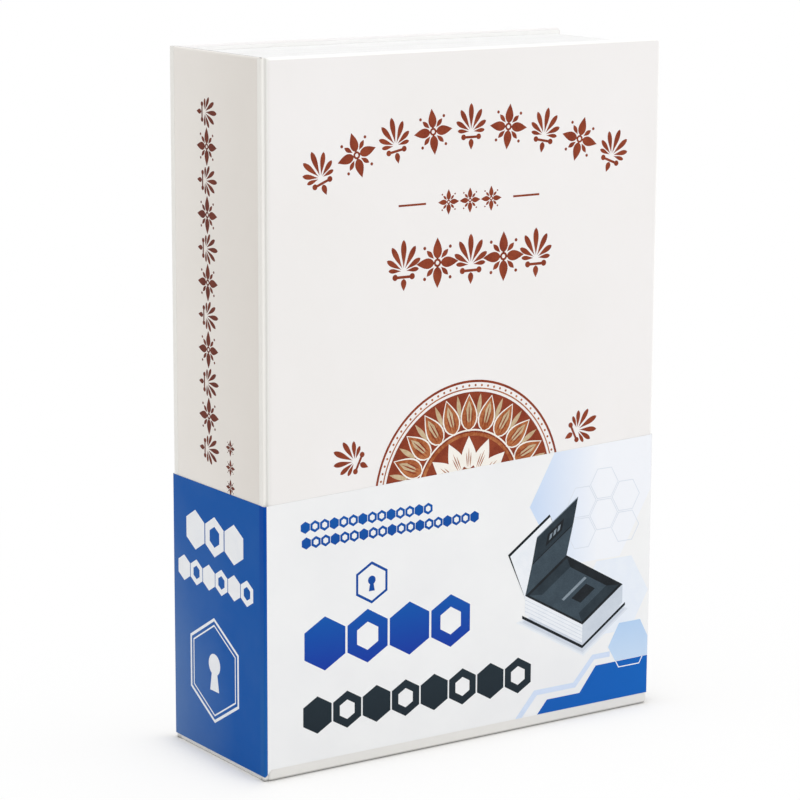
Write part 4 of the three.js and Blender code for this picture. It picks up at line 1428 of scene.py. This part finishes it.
def seen_plainly(tree):
    """1 where the camera, a reflection or clear stuff looks, and 0 for the light on the book."""
    path = tree.nodes.new("ShaderNodeLightPath")
    seen = path.outputs["Is Camera Ray"]
    for ray in ("Is Glossy Ray", "Is Transmission Ray"):
        seen = new_node(tree, "Math", "Value", {0: seen, 1: path.outputs[ray]}, operation="MAXIMUM")
    return seen


def make_floor():
    """A plain pale floor that keeps the book's shadow and whitens away from its foot."""
    finish = Finish("floor", (247, 246, 245), 0.9, 0.1)
    finish.colours(finish.noise(3 * mm, 3.0), (246, 245, 243), (249, 248, 246))
    squares = []
    for axis, half, quick in (("X", cad_high[0], 1.0), ("Y", cad_high[1], 1.8)):
        size = finish.calc("ABSOLUTE", finish.node("SeparateXYZ", axis, {"Vector": finish.place}))
        beyond = finish.calc("MAXIMUM", finish.calc("SUBTRACT", size, half))
        squares.append(finish.times(finish.times(beyond, beyond), quick * quick))
    away = finish.calc("POWER", finish.calc("ADD", *squares), 0.5)
    share = 1.0
    for part, fade in ((0.8, 5.5 * mm), (0.2, 60 * mm)):
        shade = finish.calc("EXPONENT", finish.times(away, -1 / fade))
        share = finish.calc("SUBTRACT", share, finish.times(shade, part))
    share = finish.times(share, seen_plainly(finish.tree))
    white = finish.node("Emission", "Emission", {"Color": (1, 1, 1, 1)})
    sides = {"Fac": share, 1: finish.shader.outputs["BSDF"], 2: white}
    shown = finish.node("MixShader", "Shader", sides)
    finish.tree.links.new(shown, finish.tree.nodes["Material Output"].inputs["Surface"])
    reach = 6.0
    corners = [(x, y, 0) for x, y in block(-reach, -reach, reach, reach)]
    mesh_piece("floor", corners, [(0, 1, 2, 3)], [finish.material])


def make_world():
    """Even pale light from all round, and plain white where the camera or a reflection sees it."""
    world = bpy.data.worlds.new("studio")
    bpy.context.scene.world = world
    world.use_nodes = True
    tree = world.node_tree
    tree.nodes.clear()
    lighting, backdrop = [
        new_node(tree, "Background", "Background", {"Color": (1, 1, 1, 1), "Strength": strength})
        for strength in (0.66, 1.0)
    ]
    shown = new_node(tree, "MixShader", "Shader", {"Fac": seen_plainly(tree), 1: lighting, 2: backdrop})
    tree.links.new(shown, tree.nodes.new("ShaderNodeOutputWorld").inputs["Surface"])


def make_lamp(name, place, size, power, colour=(1.0, 1.0, 1.0)):
    """A square soft box that looks at the middle of the book."""
    data = bpy.data.lights.new(name, "AREA")
    data.color = colour
    data.shape = "SQUARE"
    data.size = size
    data.energy = power
    lamp = placed(name, data)
    lamp.location = place
    aim = Vector((0, 0, 0.12)) - Vector(place)
    lamp.rotation_mode = "QUATERNION"
    lamp.rotation_quaternion = aim.to_track_quat("-Z", "Y")


make_camera()
make_floor()
make_world()
make_lamp("key", (0.7, -1.5, 0.9), 1.2, 8.0)
make_lamp("fill", (-1.5, -0.4, 0.8), 1.2, 1.6, (1.0, 0.95, 0.88))
make_lamp("top", (0.0, 0.1, 1.8), 1.6, 10.0)

bpy.context.scene.view_settings.view_transform = "Standard"
